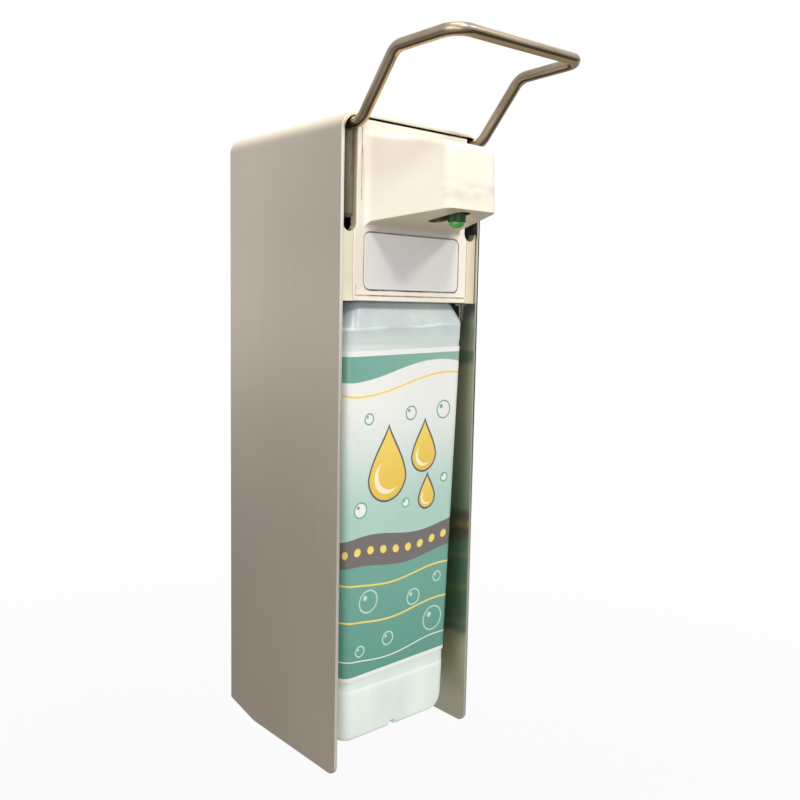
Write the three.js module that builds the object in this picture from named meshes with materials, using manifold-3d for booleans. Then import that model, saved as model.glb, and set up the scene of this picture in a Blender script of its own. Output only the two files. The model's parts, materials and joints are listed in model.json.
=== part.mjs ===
// Wall-mounted soap dispenser with an elbow lever, in millimetres.
// +Z is up, the front faces -Y, and the wall is the plane y = 0.
// The origin is on the wall face of the back plate, at half the height of the casing.

import * as THREE from 'three';
import { mergeVertices } from 'three/addons/utils/BufferGeometryUtils.js';
import Module from 'manifold-3d';

const wasm = await Module();
wasm.setup();

// Gaps and overruns
const fit = 0.3;
const running = 0.5;
const overrun = 1;
const weld = 1e-4;

// Casing: one sheet bent into side, top and side
const casingWidth = 120;
const casingDepth = 130;
const casingHeight = 418;
const casingSheet = 2.2;
const casingBend = 12;
const heelCutDepth = 32;
const heelCutRise = 6.5;
const toeRadius = 7;

// Back plate with side flanges, and the holes for the wall screws
const plateSheet = 2;
const plateFlange = 12;
const plateFootRise = 14;
const plateTopGap = 2;
const screwSpan = 70;
const screwUpperDrop = 60;
const screwLowerRise = 62;
const screwHole = 6;
const keyholeHead = 11;
const keyholeDrop = 9;

// Shelf bracket under the bottle
const shelfWidth = 64;
const shelfSheet = 2;
const shelfReach = 92;
const shelfLeg = 30;
const shelfLip = 6;
const rivetSpan = 40;
const rivetShank = 4;
const rivetHead = 7;
const rivetHeadHeight = 1.4;

// Runner rails for the pump unit
const railSheet = 1.5;
const railLeg = 12;
const railShelf = 5.4;
const railFrontSetback = 14;

// Pump unit: carrier and front cover
const insertHeight = 110.5;
const coverSetback = 1.2;
const carrierSetback = 5.2;
const wingSetback = 0.5;
const wingWidth = 8.5;
const coverWall = 2.4;
const coverTopGap = 0.9;
const cheekRise = 2;
const slotWidth = 10.7;
const slotHeight = 68.5;
const cheekWall = 2;
const cheekDepth = 6.4;
const ledgeShare = 0.6;
const carrierWall = 1.8;
const carrierFront = 2.8;
const carrierSideSetback = 16;
const carrierBackGap = 0.5;
const wingTop = 5;
const deckThickness = 3;
const deckBackGap = 14;

// Hood over the nozzle: a tapered box that stands out of the cover
const hoodReach = 53.3;
const hoodRootMargin = 8.5;
const hoodTipWidth = 39;
const hoodRootTopDrop = 8.5;
const hoodTipTopDrop = 16.5;
const hoodRootFootDrop = 62.5;
const hoodTipFootDrop = 55;
const hoodTopRadius = 6;
const hoodFootRadius = 1.5;
const hoodTipRadius = 4.5;
const hoodLean = 1.8;
const hoodFillet = 5;
const hoodWall = 2.4;
const nozzleSlotWidth = 11.8;
const nozzleSlotFront = 47;
const nozzleSlotBack = 15;
const nozzleSlotRoundShare = 0.96;

// Grey plate in the cover, and the two screws that it hides
const faceMargin = 8.3;
const faceTopGap = 5.8;
const faceRise = 7.2;
const faceRadius = 4.5;
const faceThickness = 1.6;
const faceProud = 0.3;
const faceGap = 0.4;
const faceFloor = 2.8;
const coverScrewInset = 10.7;
const coverScrewShank = 4;
const coverScrewHead = 7.4;
const coverScrewHeadHeight = 1.6;
const coverScrewLength = 11;
const coverBossDepth = 7;
const lineRise = 3;
const lineWidth = 0.8;
const lineDepth = 0.6;
const lineInset = 1.6;
const lineReturn = 7;

// Lever: one bent rod
const rodDiameter = 7;
const rodInset = 6.5;
const rodTopGap = 1.3;
const rodFrontReach = 4.5;
const rodRise = 37;
const rodRun = 34.4;
const rodArm = 49;
const rodBend = 12;
const rodCorner = 11;
const rodSides = 12;
const rodTail = 9;

// Rocker that the rod is pinned to, and its axle
const axleDiameter = 6;
const axleWallGap = 22;
const axleDrop = 11.8;
const hubDiameter = 14;
const webThickness = 7.2;
const webFootRise = 9;
const webTopGap = 2;
const webFrontGap = 0.2;
const webToeDepth = 17;
const webToeChamfer = 2.2;
const webArmDrop = 20;
const beamDepth = 14;
const beamHeight = 7;
const pinDiameter = 3;
const pinLength = 16;
const pinReaches = [64, 20];
const clipDiameter = 11;
const clipThickness = 1;
const clipGrooveDepth = 0.6;
const clipOpening = 3.4;
const bearingBoss = 13;
const bearingInset = 0.8;

// Pad that presses the pump head
const padWidth = 18;
const padRadius = 6;
const padHeight = 1.7;
const padStud = 4;
const padStudLength = 4;

// Bottle
const bottleSideGap = 5.8;
const bottleBackGap = 27;
const bottleWidthTaper = 10.5;
const bottleDepthTaper = 13;
const bottleSetback = 3;
const bottleCorner = 8;
const bottleWall = 1.4;
const bottleShoulderDrop = 13;
const bottleFootRise = 13.2;
const bottleFootRadius = 9;
const shoulderInset = 5.5;
const shoulderRise = 13;
const shoulderCapRise = 21;
const neckDiameter = 36;
const neckBore = 30;
const neckHeight = 23;
const neckBead = 1.2;
const neckBeadRise = 12;
const neckBeadHeight = 2.4;
const recessDepth = 0.8;
const recessTopDrop = 14.5;
const recessFootRise = 34;
const recessStep = 2.5;
const capCornerShare = 1.2;
const throatCornerShare = 1.8;
const throatShare = 0.72;

// Label round the front and sides of the bottle
const labelThickness = 0.3;
const labelTopDrop = 17.5;
const labelFootRise = 43;
const labelBackCut = 12;

// Pump
const collarDiameter = 45;
const collarHeight = 27;
const collarTop = 3;
const collarChamfer = 1;
const collarBore = 24;
const collarNeckGap = 1;
const gasketThickness = 1.5;
const flangeDiameter = 35;
const flangeThickness = 2;
const cylinderDiameter = 23;
const cylinderWall = 2;
const cylinderLength = 52;
const valveDiameter = 13;
const valveLength = 14;
const valveSeat = 4;
const ballDiameter = 6;
const cageBore = 7.2;
const cageLip = 1;
const cageLipBore = 5.2;
const tubeDiameter = 8;
const tubeBore = 5.6;
const tubeFootGap = 7;
const tubeSocket = 6;
const stemDiameter = 10;
const stemBore = 4;
const stemReach = 34;
const sealHeight = 5;
const sealGroove = 1.6;
const headDiameter = 30;
const headTopDiameter = 20;
const headHeight = 29;
const headSkirt = 12;
const headFlange = 2;
const headChamfer = 1;
const headDome = 3;
const headHub = 17;
const headSocket = 8;
const valveChamber = 6.2;
const valveChamberHeight = 4.5;
const outletBallDiameter = 5;
const springOuter = 21;
const springWire = 1.4;
const springCurls = 6;
const springSteps = 8;
const springSides = 5;

// Spout and nozzle
const spoutDiameter = 8.4;
const spoutBore = 5.6;
const spoutDrop = 12;
const spoutRootReach = 10;
const spoutBend = 13;
const nozzleReach = 37.7;
const nozzleDiameter = 10.2;
const nozzleRingHeight = 9;
const nozzleRingOverlap = 5;
const nozzleTipHeight = 4.2;
const nozzleTipDiameter = 9.6;
const nozzleTipBore = 2.4;
const nozzleTipEnd = 5.4;
const nozzleSpigotDiameter = 7.4;
const nozzleSpigot = 2;

// Planes and centres that the sizes above lead to
const frontY = -casingDepth;
const topZ = casingHeight / 2;
const footZ = -casingHeight / 2;
const innerHalf = casingWidth / 2 - casingSheet;
const ceilingZ = topZ - casingSheet;
const unitHalf = innerHalf - fit;
const unitTopZ = ceilingZ - fit;
const unitFootZ = unitTopZ - insertHeight;
const coverY = frontY + coverSetback;
const coverWidth = (unitHalf - wingWidth) * 2;
const hoodRootWidth = coverWidth - hoodRootMargin * 2;
const hoodRootTop = unitTopZ - hoodRootTopDrop;
const hoodTipTop = unitTopZ - hoodTipTopDrop;
const hoodRootFoot = unitTopZ - hoodRootFootDrop;
const hoodTipFoot = unitTopZ - hoodTipFootDrop;
const faceWidth = coverWidth - faceMargin * 2;
const faceFootZ = unitFootZ + faceRise;
const faceTopZ = hoodRootFoot - faceTopGap;
const coverScrewX = faceWidth / 2 - coverScrewInset;
const coverScrewZ = (faceFootZ + faceTopZ) / 2;
const carrierFrontY = frontY + carrierSetback;
const wingY = coverY + wingSetback;
const slotFootZ = unitTopZ - slotHeight;
const slotRoundZ = slotFootZ + slotWidth / 2;
const slotCentre = unitHalf - slotWidth / 2;
const cheekHalf = unitHalf - slotWidth;
const carrierBackY = -plateFlange - carrierBackGap;
const rodHalf = unitHalf - rodInset;
const rodRadius = rodDiameter / 2;
const rodZ = ceilingZ - rodTopGap - rodRadius;
const axleY = -axleWallGap;
const axleZ = ceilingZ - axleDrop;
const webInner = rodHalf - webThickness / 2;
const webOuter = rodHalf + webThickness / 2;
const bottleFrontY = frontY + bottleSetback;
const bottleWidth = (innerHalf - bottleSideGap) * 2;
const bottleDepth = -bottleBackGap - bottleFrontY;
const bottleFootWidth = bottleWidth - bottleWidthTaper;
const bottleFootDepth = bottleDepth - bottleDepthTaper;
const bottleY = bottleFrontY + bottleDepth / 2;
const bottleFootZ = footZ + bottleFootRise;
const bottleShoulderZ = unitFootZ - bottleShoulderDrop;
const shoulderCapZ = bottleShoulderZ + shoulderRise;
const neckFootZ = bottleShoulderZ + shoulderCapRise + fit;
const neckTopZ = neckFootZ + neckHeight;
const gasketTopZ = neckTopZ + fit + gasketThickness;
const flangeTopZ = gasketTopZ + fit + flangeThickness;
const collarTopZ = flangeTopZ + fit + collarTop;
const collarFootZ = collarTopZ - collarHeight;
const deckTopZ = collarFootZ - fit;
const padFootZ = axleZ + padRadius / 3 - padRadius;
const headTopZ = padFootZ - fit;
const headFootZ = headTopZ - headHeight;
const cylinderFootZ = flangeTopZ - cylinderLength;
const valveFootZ = cylinderFootZ - valveLength;
const nozzleY = frontY - nozzleReach;
const spoutZ = headTopZ - spoutDrop;

// Small builders

function toSolid(geometry) {
  const bare = geometry.clone();
  bare.deleteAttribute('normal');
  bare.deleteAttribute('uv');
  const merged = mergeVertices(bare, weld);
  const vertProperties = new Float32Array(merged.attributes.position.array);
  const triVerts = new Uint32Array(merged.index.array);
  if (signedVolume(vertProperties, triVerts) < 0) {
    for (let i = 0; i < triVerts.length; i += 3) {
      const keep = triVerts[i + 1];
      triVerts[i + 1] = triVerts[i + 2];
      triVerts[i + 2] = keep;
    }
  }
  return new wasm.Manifold(new wasm.Mesh({ numProp: 3, vertProperties, triVerts }));
}

function signedVolume(points, triangles) {
  const corners = [new THREE.Vector3(), new THREE.Vector3(), new THREE.Vector3()];
  let sum = 0;
  for (let i = 0; i < triangles.length; i += 3) {
    corners.forEach((corner, k) => corner.fromArray(points, triangles[i + k] * 3));
    sum += corners[0].dot(corners[1].clone().cross(corners[2]));
  }
  return sum;
}

function toGeometry(solid) {
  const mesh = solid.getMesh();
  const geometry = new THREE.BufferGeometry();
  const points = new Float32Array(mesh.numVert * 3);
  for (let i = 0; i < mesh.numVert; i += 1) {
    for (let k = 0; k < 3; k += 1) {
      points[i * 3 + k] = mesh.vertProperties[i * mesh.numProp + k];
    }
  }
  geometry.setAttribute('position', new THREE.BufferAttribute(points, 3));
  geometry.setIndex(new THREE.BufferAttribute(new Uint32Array(mesh.triVerts), 1));
  geometry.computeVertexNormals();
  return geometry;
}

function block([x0, x1], [y0, y1], [z0, z1]) {
  const geometry = new THREE.BoxGeometry(x1 - x0, y1 - y0, z1 - z0);
  geometry.translate((x0 + x1) / 2, (y0 + y1) / 2, (z0 + z1) / 2);
  return toSolid(geometry);
}

// A flat outline pushed along one axis, from one coordinate to another.
// The outline is drawn in (y, z) for x, in (x, z) for y and in (x, y) for z.
function prism(shape, axis, [from, to], curveSegments = 6) {
  const geometry = new THREE.ExtrudeGeometry(shape, {
    depth: to - from, bevelEnabled: false, curveSegments,
  });
  const x = new THREE.Vector3(1, 0, 0);
  const y = new THREE.Vector3(0, 1, 0);
  const z = new THREE.Vector3(0, 0, 1);
  if (axis === 'x') geometry.applyMatrix4(new THREE.Matrix4().makeBasis(y, z, x));
  if (axis === 'y') geometry.applyMatrix4(new THREE.Matrix4().makeBasis(x, z, y.clone().negate()));
  if (axis === 'x') geometry.translate(from, 0, 0);
  if (axis === 'y') geometry.translate(0, to, 0);
  if (axis === 'z') geometry.translate(0, 0, from);
  return toSolid(geometry);
}

function outline(points) {
  return new THREE.Shape(points.map(([u, v]) => new THREE.Vector2(u, v)));
}

function roundedRect([u0, u1], [v0, v1], radius) {
  const shape = new THREE.Shape();
  shape.moveTo(u0 + radius, v0);
  shape.lineTo(u1 - radius, v0);
  shape.absarc(u1 - radius, v0 + radius, radius, -Math.PI / 2, 0, false);
  shape.lineTo(u1, v1 - radius);
  shape.absarc(u1 - radius, v1 - radius, radius, 0, Math.PI / 2, false);
  shape.lineTo(u0 + radius, v1);
  shape.absarc(u0 + radius, v1 - radius, radius, Math.PI / 2, Math.PI, false);
  shape.lineTo(u0, v0 + radius);
  shape.absarc(u0 + radius, v0 + radius, radius, Math.PI, Math.PI * 1.5, false);
  return shape;
}

function disc(u, v, radius) {
  const shape = new THREE.Shape();
  shape.absarc(u, v, radius, 0, Math.PI * 2, false);
  return shape;
}

function bar(axis, centre, diameter, [from, to], segments = 20) {
  return prism(disc(centre[0], centre[1], diameter / 2), axis, [from, to], segments);
}

// A profile of [radius, z] points turned about the upright line through (x, y)
function turned(profile, x, y, segments = 28) {
  const points = profile.map(([r, z]) => new THREE.Vector2(r, z));
  const geometry = new THREE.LatheGeometry(points, segments);
  geometry.rotateX(Math.PI / 2);
  geometry.translate(x, y, 0);
  return toSolid(geometry);
}

function ring(outer, inner, [z0, z1], x, y, segments = 28) {
  const profile = [[inner / 2, z0], [outer / 2, z0], [outer / 2, z1], [inner / 2, z1], [inner / 2, z0]];
  return turned(profile, x, y, segments);
}

// A skin through rings of equal point counts, closed by flat ends
function loft(rings) {
  const count = rings[0].length;
  const points = rings.flat();
  const triangles = [];
  for (let i = 0; i < rings.length - 1; i += 1) {
    for (let j = 0; j < count; j += 1) {
      const a = i * count + j;
      const b = i * count + ((j + 1) % count);
      triangles.push(a, b, b + count, a, b + count, a + count);
    }
  }
  const last = (rings.length - 1) * count;
  for (let j = 1; j < count - 1; j += 1) {
    triangles.push(0, j + 1, j);
    triangles.push(last, last + j, last + j + 1);
  }
  const geometry = new THREE.BufferGeometry().setFromPoints(points);
  geometry.setIndex(triangles);
  return toSolid(geometry);
}

// Corner points of a rounded rectangle, with one radius for each of its four corners
function cornerPoints([u0, u1], [v0, v1], radii, perCorner) {
  const corners = [[u1, v1, -1, -1], [u0, v1, 1, -1], [u0, v0, 1, 1], [u1, v0, -1, 1]];
  const points = [];
  corners.forEach(([u, v, su, sv], k) => {
    for (let i = 0; i <= perCorner; i += 1) {
      const angle = (k + i / perCorner) * Math.PI / 2;
      points.push([
        u + su * radii[k] + radii[k] * Math.cos(angle),
        v + sv * radii[k] + radii[k] * Math.sin(angle),
      ]);
    }
  });
  return points;
}

function cut(solid, ...tools) {
  return tools.reduce((left, tool) => left.subtract(tool), solid);
}

function join(solid, ...others) {
  return others.reduce((sum, other) => sum.add(other), solid);
}

const sides = [['left', -1], ['right', 1]];

function span(side, near, far) {
  return side < 0 ? [-far, -near] : [near, far];
}

// Materials

const finishes = {
  casingSteel: [0xa89e92, 0.42, 0.85],
  plateSteel: [0x8d8880, 0.5, 0.8],
  rodSteel: [0x857560, 0.35, 0.9],
  darkSteel: [0x5c5a56, 0.45, 0.8],
  ivory: [0xf5ecd8, 0.4, 0],
  yellowIvory: [0xeae0c2, 0.45, 0],
  greyPlastic: [0xd7d5d2, 0.45, 0],
  whitePlastic: [0xe9e9e4, 0.4, 0],
  milkyPlastic: [0xd5e2de, 0.35, 0],
  labelPrint: [0x6fab9b, 0.4, 0],
  blackGreen: [0x12241c, 0.35, 0],
  green: [0x4fae3d, 0.35, 0],
  rubber: [0x2a2a2c, 0.8, 0],
};

const part = new THREE.Group();
part.name = 'soap_dispenser';

function piece(name, solid, finish) {
  const [color, roughness, metalness] = finishes[finish];
  const material = new THREE.MeshStandardMaterial({ color, roughness, metalness });
  const mesh = new THREE.Mesh(toGeometry(solid), material);
  mesh.name = name;
  part.add(mesh);
}

// Casing

function casingShell() {
  const shape = new THREE.Shape();
  const half = casingWidth / 2;
  const bendX = half - casingBend;
  const bendZ = topZ - casingBend;
  const innerBend = casingBend - casingSheet;
  shape.moveTo(half, footZ);
  shape.lineTo(half, bendZ);
  shape.absarc(bendX, bendZ, casingBend, 0, Math.PI / 2, false);
  shape.lineTo(-bendX, topZ);
  shape.absarc(-bendX, bendZ, casingBend, Math.PI / 2, Math.PI, false);
  shape.lineTo(-half, footZ);
  shape.lineTo(-innerHalf, footZ);
  shape.lineTo(-innerHalf, bendZ);
  shape.absarc(-bendX, bendZ, innerBend, Math.PI, Math.PI / 2, true);
  shape.lineTo(bendX, ceilingZ);
  shape.absarc(bendX, bendZ, innerBend, Math.PI / 2, 0, true);
  shape.lineTo(innerHalf, footZ);
  const sheet = prism(shape, 'y', [frontY, 0], 8);
  const side = new THREE.Shape();
  side.moveTo(frontY - overrun, footZ - overrun);
  side.lineTo(frontY + toeRadius, footZ - overrun);
  side.lineTo(frontY + toeRadius, footZ);
  side.absarc(frontY + toeRadius, footZ + toeRadius, toeRadius, -Math.PI / 2, -Math.PI, true);
  side.lineTo(frontY - overrun, footZ + toeRadius);
  const reach = half + overrun;
  const toe = prism(side, 'x', [-reach, reach], 6);
  const heel = prism(outline([
    [-heelCutDepth, footZ],
    [-heelCutDepth, footZ - overrun],
    [overrun, footZ - overrun],
    [overrun, footZ + heelCutRise],
    [0, footZ + heelCutRise],
  ]), 'x', [-reach, reach]);
  return cut(sheet, toe, heel);
}

function backPlate() {
  const half = innerHalf - fit;
  const z = [footZ + plateFootRise, topZ - casingBend - plateTopGap];
  const sheet = block([-half, half], [-plateSheet, 0], [z[0], ceilingZ]);
  let plate = sheet.intersect(prism(unitEnvelope(), 'y', [frontY, overrun], 8));
  for (const [, side] of sides) {
    plate = join(plate, block(span(side, half - plateSheet, half), [-plateFlange, 0], z));
    const x = side * screwSpan / 2;
    const through = [-plateSheet - overrun, overrun];
    const lowerZ = footZ + screwLowerRise;
    const upperZ = topZ - screwUpperDrop;
    plate = cut(
      plate,
      bar('y', [x, lowerZ], screwHole, through, 12),
      bar('y', [x, upperZ], screwHole, through, 12),
      bar('y', [x, upperZ - keyholeDrop], keyholeHead, through, 12),
      block([x - screwHole / 2, x + screwHole / 2], through, [upperZ - keyholeDrop, upperZ]),
    );
    plate = cut(plate, bar('y', [side * rivetSpan / 2, shelfRivetZ()], rivetShank + fit * 2, through, 10));
  }
  return plate;
}

function shelfRivetZ() {
  return bottleFootZ - fit - shelfSheet + shelfLeg * (2 / 3);
}

function bottleShelf() {
  const half = shelfWidth / 2;
  const topOfShelf = bottleFootZ - fit;
  const footOfShelf = topOfShelf - shelfSheet;
  const backY = -plateSheet - fit;
  const side = outline([
    [backY, footOfShelf],
    [backY, footOfShelf + shelfLeg],
    [backY - shelfSheet, footOfShelf + shelfLeg],
    [backY - shelfSheet, topOfShelf],
    [backY - shelfReach, topOfShelf],
    [backY - shelfReach, footOfShelf - shelfLip],
    [backY - shelfReach + shelfSheet, footOfShelf - shelfLip],
    [backY - shelfReach + shelfSheet, footOfShelf],
  ]);
  const bent = prism(side, 'x', [-half, half]);
  const through = [backY - shelfSheet - overrun, backY + overrun];
  const holes = sides.map(([, s]) => (
    bar('y', [s * rivetSpan / 2, shelfRivetZ()], rivetShank + fit * 2, through, 10)
  ));
  return cut(bent, ...holes);
}

function shelfRivet(side) {
  const centre = [side * rivetSpan / 2, shelfRivetZ()];
  const faceY = -plateSheet - fit - shelfSheet - fit;
  return join(
    bar('y', centre, rivetShank, [faceY - rivetHeadHeight / 2, -fit], 10),
    bar('y', centre, rivetHead, [faceY - rivetHeadHeight, faceY], 10),
  );
}

function rail(side) {
  const far = innerHalf - fit;
  const y = [frontY + railFrontSetback, -plateFlange - fit];
  const top = unitFootZ - fit;
  return join(
    block(span(side, far - railSheet, far), y, [top - railLeg, top]),
    block(span(side, far - railShelf, far), y, [top - railSheet, top]),
  );
}

// Pump unit

function coverOutline(grow) {
  const half = coverWidth / 2 + grow;
  const neck = cheekHalf + grow;
  const top = ceilingZ - coverTopGap;
  return outline([
    [-half, unitFootZ], [half, unitFootZ], [half, slotRoundZ], [neck, slotRoundZ],
    [neck, top], [-neck, top], [-neck, slotRoundZ], [-half, slotRoundZ],
  ]);
}

function hoodRings(inset) {
  const tipY = frontY + coverSetback - hoodReach + inset;
  const rootY = coverY + (inset > 0 ? coverWall + overrun : coverWall / 2);
  const share = (y) => (coverY - y) / hoodReach;
  const widthAt = (y) => hoodRootWidth + (hoodTipWidth - hoodRootWidth) * share(y);
  const topAt = (y) => hoodRootTop + (hoodTipTop - hoodRootTop) * share(y);
  const footAt = (y) => hoodRootFoot + (hoodTipFoot - hoodRootFoot) * share(y);
  const section = (y, shrink) => {
    const half = widthAt(y) / 2 - inset - shrink;
    const top = topAt(y) - inset - shrink;
    const foot = footAt(y) + inset + shrink * hoodFootRadius / hoodTipRadius;
    const upper = Math.max(hoodTopRadius - inset, hoodFootRadius);
    const radii = [upper, upper, hoodFootRadius, hoodFootRadius];
    const slope = hoodLean * share(y) / (top - foot);
    return cornerPoints([-half, half], [foot, top], radii, 4)
      .map(([x, z]) => new THREE.Vector3(x, y + slope * (z - foot), z));
  };
  const rings = [section(rootY, 0)];
  const curve = Math.max(hoodTipRadius - inset, hoodFootRadius);
  const steps = 4;
  for (let i = 0; i <= steps; i += 1) {
    const angle = (i / steps) * Math.PI / 2;
    rings.push(section(tipY + curve * (1 - Math.sin(angle)), curve * (1 - Math.cos(angle))));
  }
  return rings;
}

// The hollow curve that leads the underside of the hood down into the cover
function hoodRootFillet() {
  const z = hoodRootFoot + hoodFootRadius;
  const foot = z - hoodFillet - hoodFootRadius;
  const shape = new THREE.Shape();
  shape.moveTo(coverY + coverWall / 2, z);
  shape.lineTo(coverY + coverWall / 2, foot);
  shape.lineTo(coverY, foot);
  shape.absarc(coverY - hoodFillet, foot, hoodFillet, 0, Math.PI / 2, false);
  shape.lineTo(coverY - hoodFillet, z);
  const half = hoodRootWidth / 2 - hoodFillet / 2;
  return prism(shape, 'x', [-half, half], 5);
}

function faceOutline(grow) {
  const half = faceWidth / 2 + grow;
  return roundedRect([-half, half], [faceFootZ - grow, faceTopZ + grow], faceRadius + grow);
}

function frontCover() {
  const floorY = coverY - faceProud + faceThickness + fit;
  const floorBackY = floorY + faceFloor;
  let cover = prism(coverOutline(0), 'y', [coverY, coverY + coverWall]);
  const top = ceilingZ - coverTopGap;
  cover = join(
    cover,
    loft(hoodRings(0)),
    hoodRootFillet(),
    prism(faceOutline(coverWall), 'y', [coverY, floorBackY]),
  );
  for (const [, side] of sides) {
    const cheek = span(side, cheekHalf - cheekWall, cheekHalf);
    const lower = span(side, coverWidth / 2 - cheekWall, coverWidth / 2);
    cover = join(
      cover,
      block(cheek, [coverY, coverY + cheekDepth], [slotFootZ + cheekRise, top]),
      block(lower, [coverY, carrierFrontY - fit], [unitFootZ, slotRoundZ]),
    );
    cover = cut(cover, bar('y', [side * slotCentre, slotRoundZ], slotWidth, [frontY, carrierFrontY], 16));
  }
  const slotEnds = nozzleSlotWidth / 2;
  const slotY = [frontY - nozzleSlotFront, frontY - nozzleSlotBack];
  const slotZ = [unitFootZ, (hoodTipFoot + hoodTipTop) / 2];
  const slotCorner = slotEnds * nozzleSlotRoundShare;
  const nozzleSlot = prism(roundedRect([-slotEnds, slotEnds], slotY, slotCorner), 'z', slotZ, 4);
  cover = cut(cover, loft(hoodRings(hoodWall)), nozzleSlot);
  cover = cut(cover, prism(faceOutline(faceGap), 'y', [coverY - overrun, floorY], 4));
  for (const [, side] of sides) {
    const centre = [side * coverScrewX, coverScrewZ];
    const seatY = floorY + coverScrewHeadHeight + fit;
    cover = cut(
      cover,
      bar('y', centre, coverScrewShank + fit * 2, [floorY - overrun, floorBackY + overrun], 12),
      bar('y', centre, coverScrewHead + fit * 2, [floorY - overrun, seatY], 12),
    );
  }
  const lineHalf = coverWidth / 2 - lineInset;
  const lineZ = unitFootZ + lineRise;
  const lineY = [coverY - overrun, coverY + lineDepth];
  return cut(
    cover,
    block([-lineHalf, lineHalf], lineY, [lineZ, lineZ + lineWidth]),
    block([-lineHalf, -lineHalf + lineWidth], lineY, [lineZ, lineZ + lineReturn]),
  );
}

function frontPlate() {
  return prism(faceOutline(0), 'y', [coverY - faceProud, coverY - faceProud + faceThickness], 5);
}

function coverScrew(side) {
  const centre = [side * coverScrewX, coverScrewZ];
  const floorY = coverY - faceProud + faceThickness + fit;
  const headY = [floorY, floorY + coverScrewHeadHeight];
  return join(
    bar('y', centre, coverScrewHead, headY, 12),
    bar('y', centre, coverScrewShank, [headY[1] - fit, headY[1] + coverScrewLength], 12),
  );
}

function carrier() {
  const pocketY = coverY - faceProud + faceThickness + fit + faceFloor + fit;
  const frontBackY = carrierFrontY + carrierFront;
  const wingTopZ = slotFootZ + wingTop;
  const sideY = [frontY + carrierSideSetback, carrierBackY];
  let body = block([-unitHalf, unitHalf], [carrierFrontY, frontBackY], [unitFootZ, wingTopZ]);
  for (const [, side] of sides) {
    const wing = span(side, coverWidth / 2 + fit, unitHalf);
    const wall = span(side, unitHalf - carrierWall, unitHalf);
    body = join(
      body,
      block(wing, [wingY, frontBackY], [unitFootZ, wingTopZ]),
      block(wall, [carrierFrontY, carrierBackY], [unitFootZ, slotFootZ]),
      block(wall, sideY, [unitFootZ, unitTopZ]),
    );
    const boss = span(side, unitHalf - carrierWall - bearingInset, unitHalf);
    body = join(body, bar('x', [axleY, axleZ], bearingBoss, boss, 16));
  }
  const deckZ = [deckTopZ - deckThickness, deckTopZ];
  const deckY = [carrierFrontY, -plateSheet - deckBackGap];
  body = join(body, block([-unitHalf, unitHalf], deckY, deckZ));
  for (const [, side] of sides) {
    const centre = [side * coverScrewX, coverScrewZ];
    const bossY = [frontBackY - fit, frontBackY + coverBossDepth];
    body = join(body, bar('y', centre, coverScrewHead + cheekWall, bossY, 12));
  }
  const faceHalf = faceWidth / 2 + coverWall + faceGap;
  const pocketZ = faceFootZ - coverWall - faceGap;
  body = cut(
    body,
    block([-faceHalf, faceHalf], [carrierFrontY - overrun, pocketY], [pocketZ, wingTopZ + overrun]),
    block([-neckCut(), neckCut()], [bottleY, overrun], [deckZ[0] - overrun, deckZ[1] + overrun]),
    bar('z', [0, bottleY], neckCut() * 2, [deckZ[0] - overrun, deckZ[1] + overrun], 12),
  );
  const ledgeZ = slotFootZ + cheekRise - fit;
  const ledgeHalf = cheekHalf + cheekWall * ledgeShare;
  const ledgeY = [carrierFrontY - overrun, frontY + carrierSideSetback - overrun];
  body = cut(body, block([-ledgeHalf, ledgeHalf], ledgeY, [ledgeZ, wingTopZ + overrun]));
  for (const [, side] of sides) {
    const centre = [side * coverScrewX, coverScrewZ];
    const screwY = [frontY, frontBackY + coverBossDepth + overrun];
    const slotX = span(side, cheekHalf, unitHalf + overrun);
    const slotY = [frontY, frontY + carrierSideSetback - overrun];
    body = cut(
      body,
      bar('y', [side * slotCentre, slotRoundZ], slotWidth, slotY, 16),
      block(slotX, slotY, [slotRoundZ, wingTopZ + overrun + slotWidth]),
      bar('y', centre, coverScrewShank + fit * 2, screwY, 12),
      bar('x', [axleY, axleZ], axleDiameter + fit * 2, span(side, cheekHalf, unitHalf + overrun), 16),
    );
  }
  return body.intersect(prism(unitEnvelope(), 'y', [frontY, 0], 8));
}

// The inside of the casing less the gap that the pump unit slides in
function unitEnvelope() {
  const bendX = casingWidth / 2 - casingBend;
  const bendZ = topZ - casingBend;
  const radius = casingBend - casingSheet - fit;
  const shape = new THREE.Shape();
  shape.moveTo(-unitHalf, footZ);
  shape.lineTo(unitHalf, footZ);
  shape.lineTo(unitHalf, bendZ);
  shape.absarc(bendX, bendZ, radius, 0, Math.PI / 2, false);
  shape.absarc(-bendX, bendZ, radius, Math.PI / 2, Math.PI, false);
  shape.lineTo(-unitHalf, footZ);
  return shape;
}

function neckCut() {
  return (neckDiameter / 2) + running + neckBead;
}

// Lever

function bentPath(points, radii) {
  const path = new THREE.CurvePath();
  let start = points[0];
  for (let i = 1; i < points.length - 1; i += 1) {
    const before = points[i - 1].clone().sub(points[i]).normalize();
    const after = points[i + 1].clone().sub(points[i]).normalize();
    const turn = Math.PI - before.angleTo(after);
    const setback = radii[i - 1] * Math.tan(turn / 2);
    const enter = points[i].clone().addScaledVector(before, setback);
    const leave = points[i].clone().addScaledVector(after, setback);
    path.add(new THREE.LineCurve3(start, enter));
    path.add(new ArcBetween(points[i], before, after, radii[i - 1]));
    start = leave;
  }
  path.add(new THREE.LineCurve3(start, points[points.length - 1]));
  return path;
}

class ArcBetween extends THREE.Curve {
  constructor(corner, before, after, radius) {
    super();
    const turn = Math.PI - before.angleTo(after);
    const bisector = before.clone().add(after).normalize();
    this.centre = corner.clone().addScaledVector(bisector, radius / Math.cos(turn / 2));
    this.first = corner.clone().addScaledVector(before, radius * Math.tan(turn / 2)).sub(this.centre);
    this.axis = before.clone().negate().cross(after).normalize();
    this.turn = turn;
  }

  getPoint(t, target = new THREE.Vector3()) {
    return target.copy(this.first).applyAxisAngle(this.axis, this.turn * t).add(this.centre);
  }
}

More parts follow.
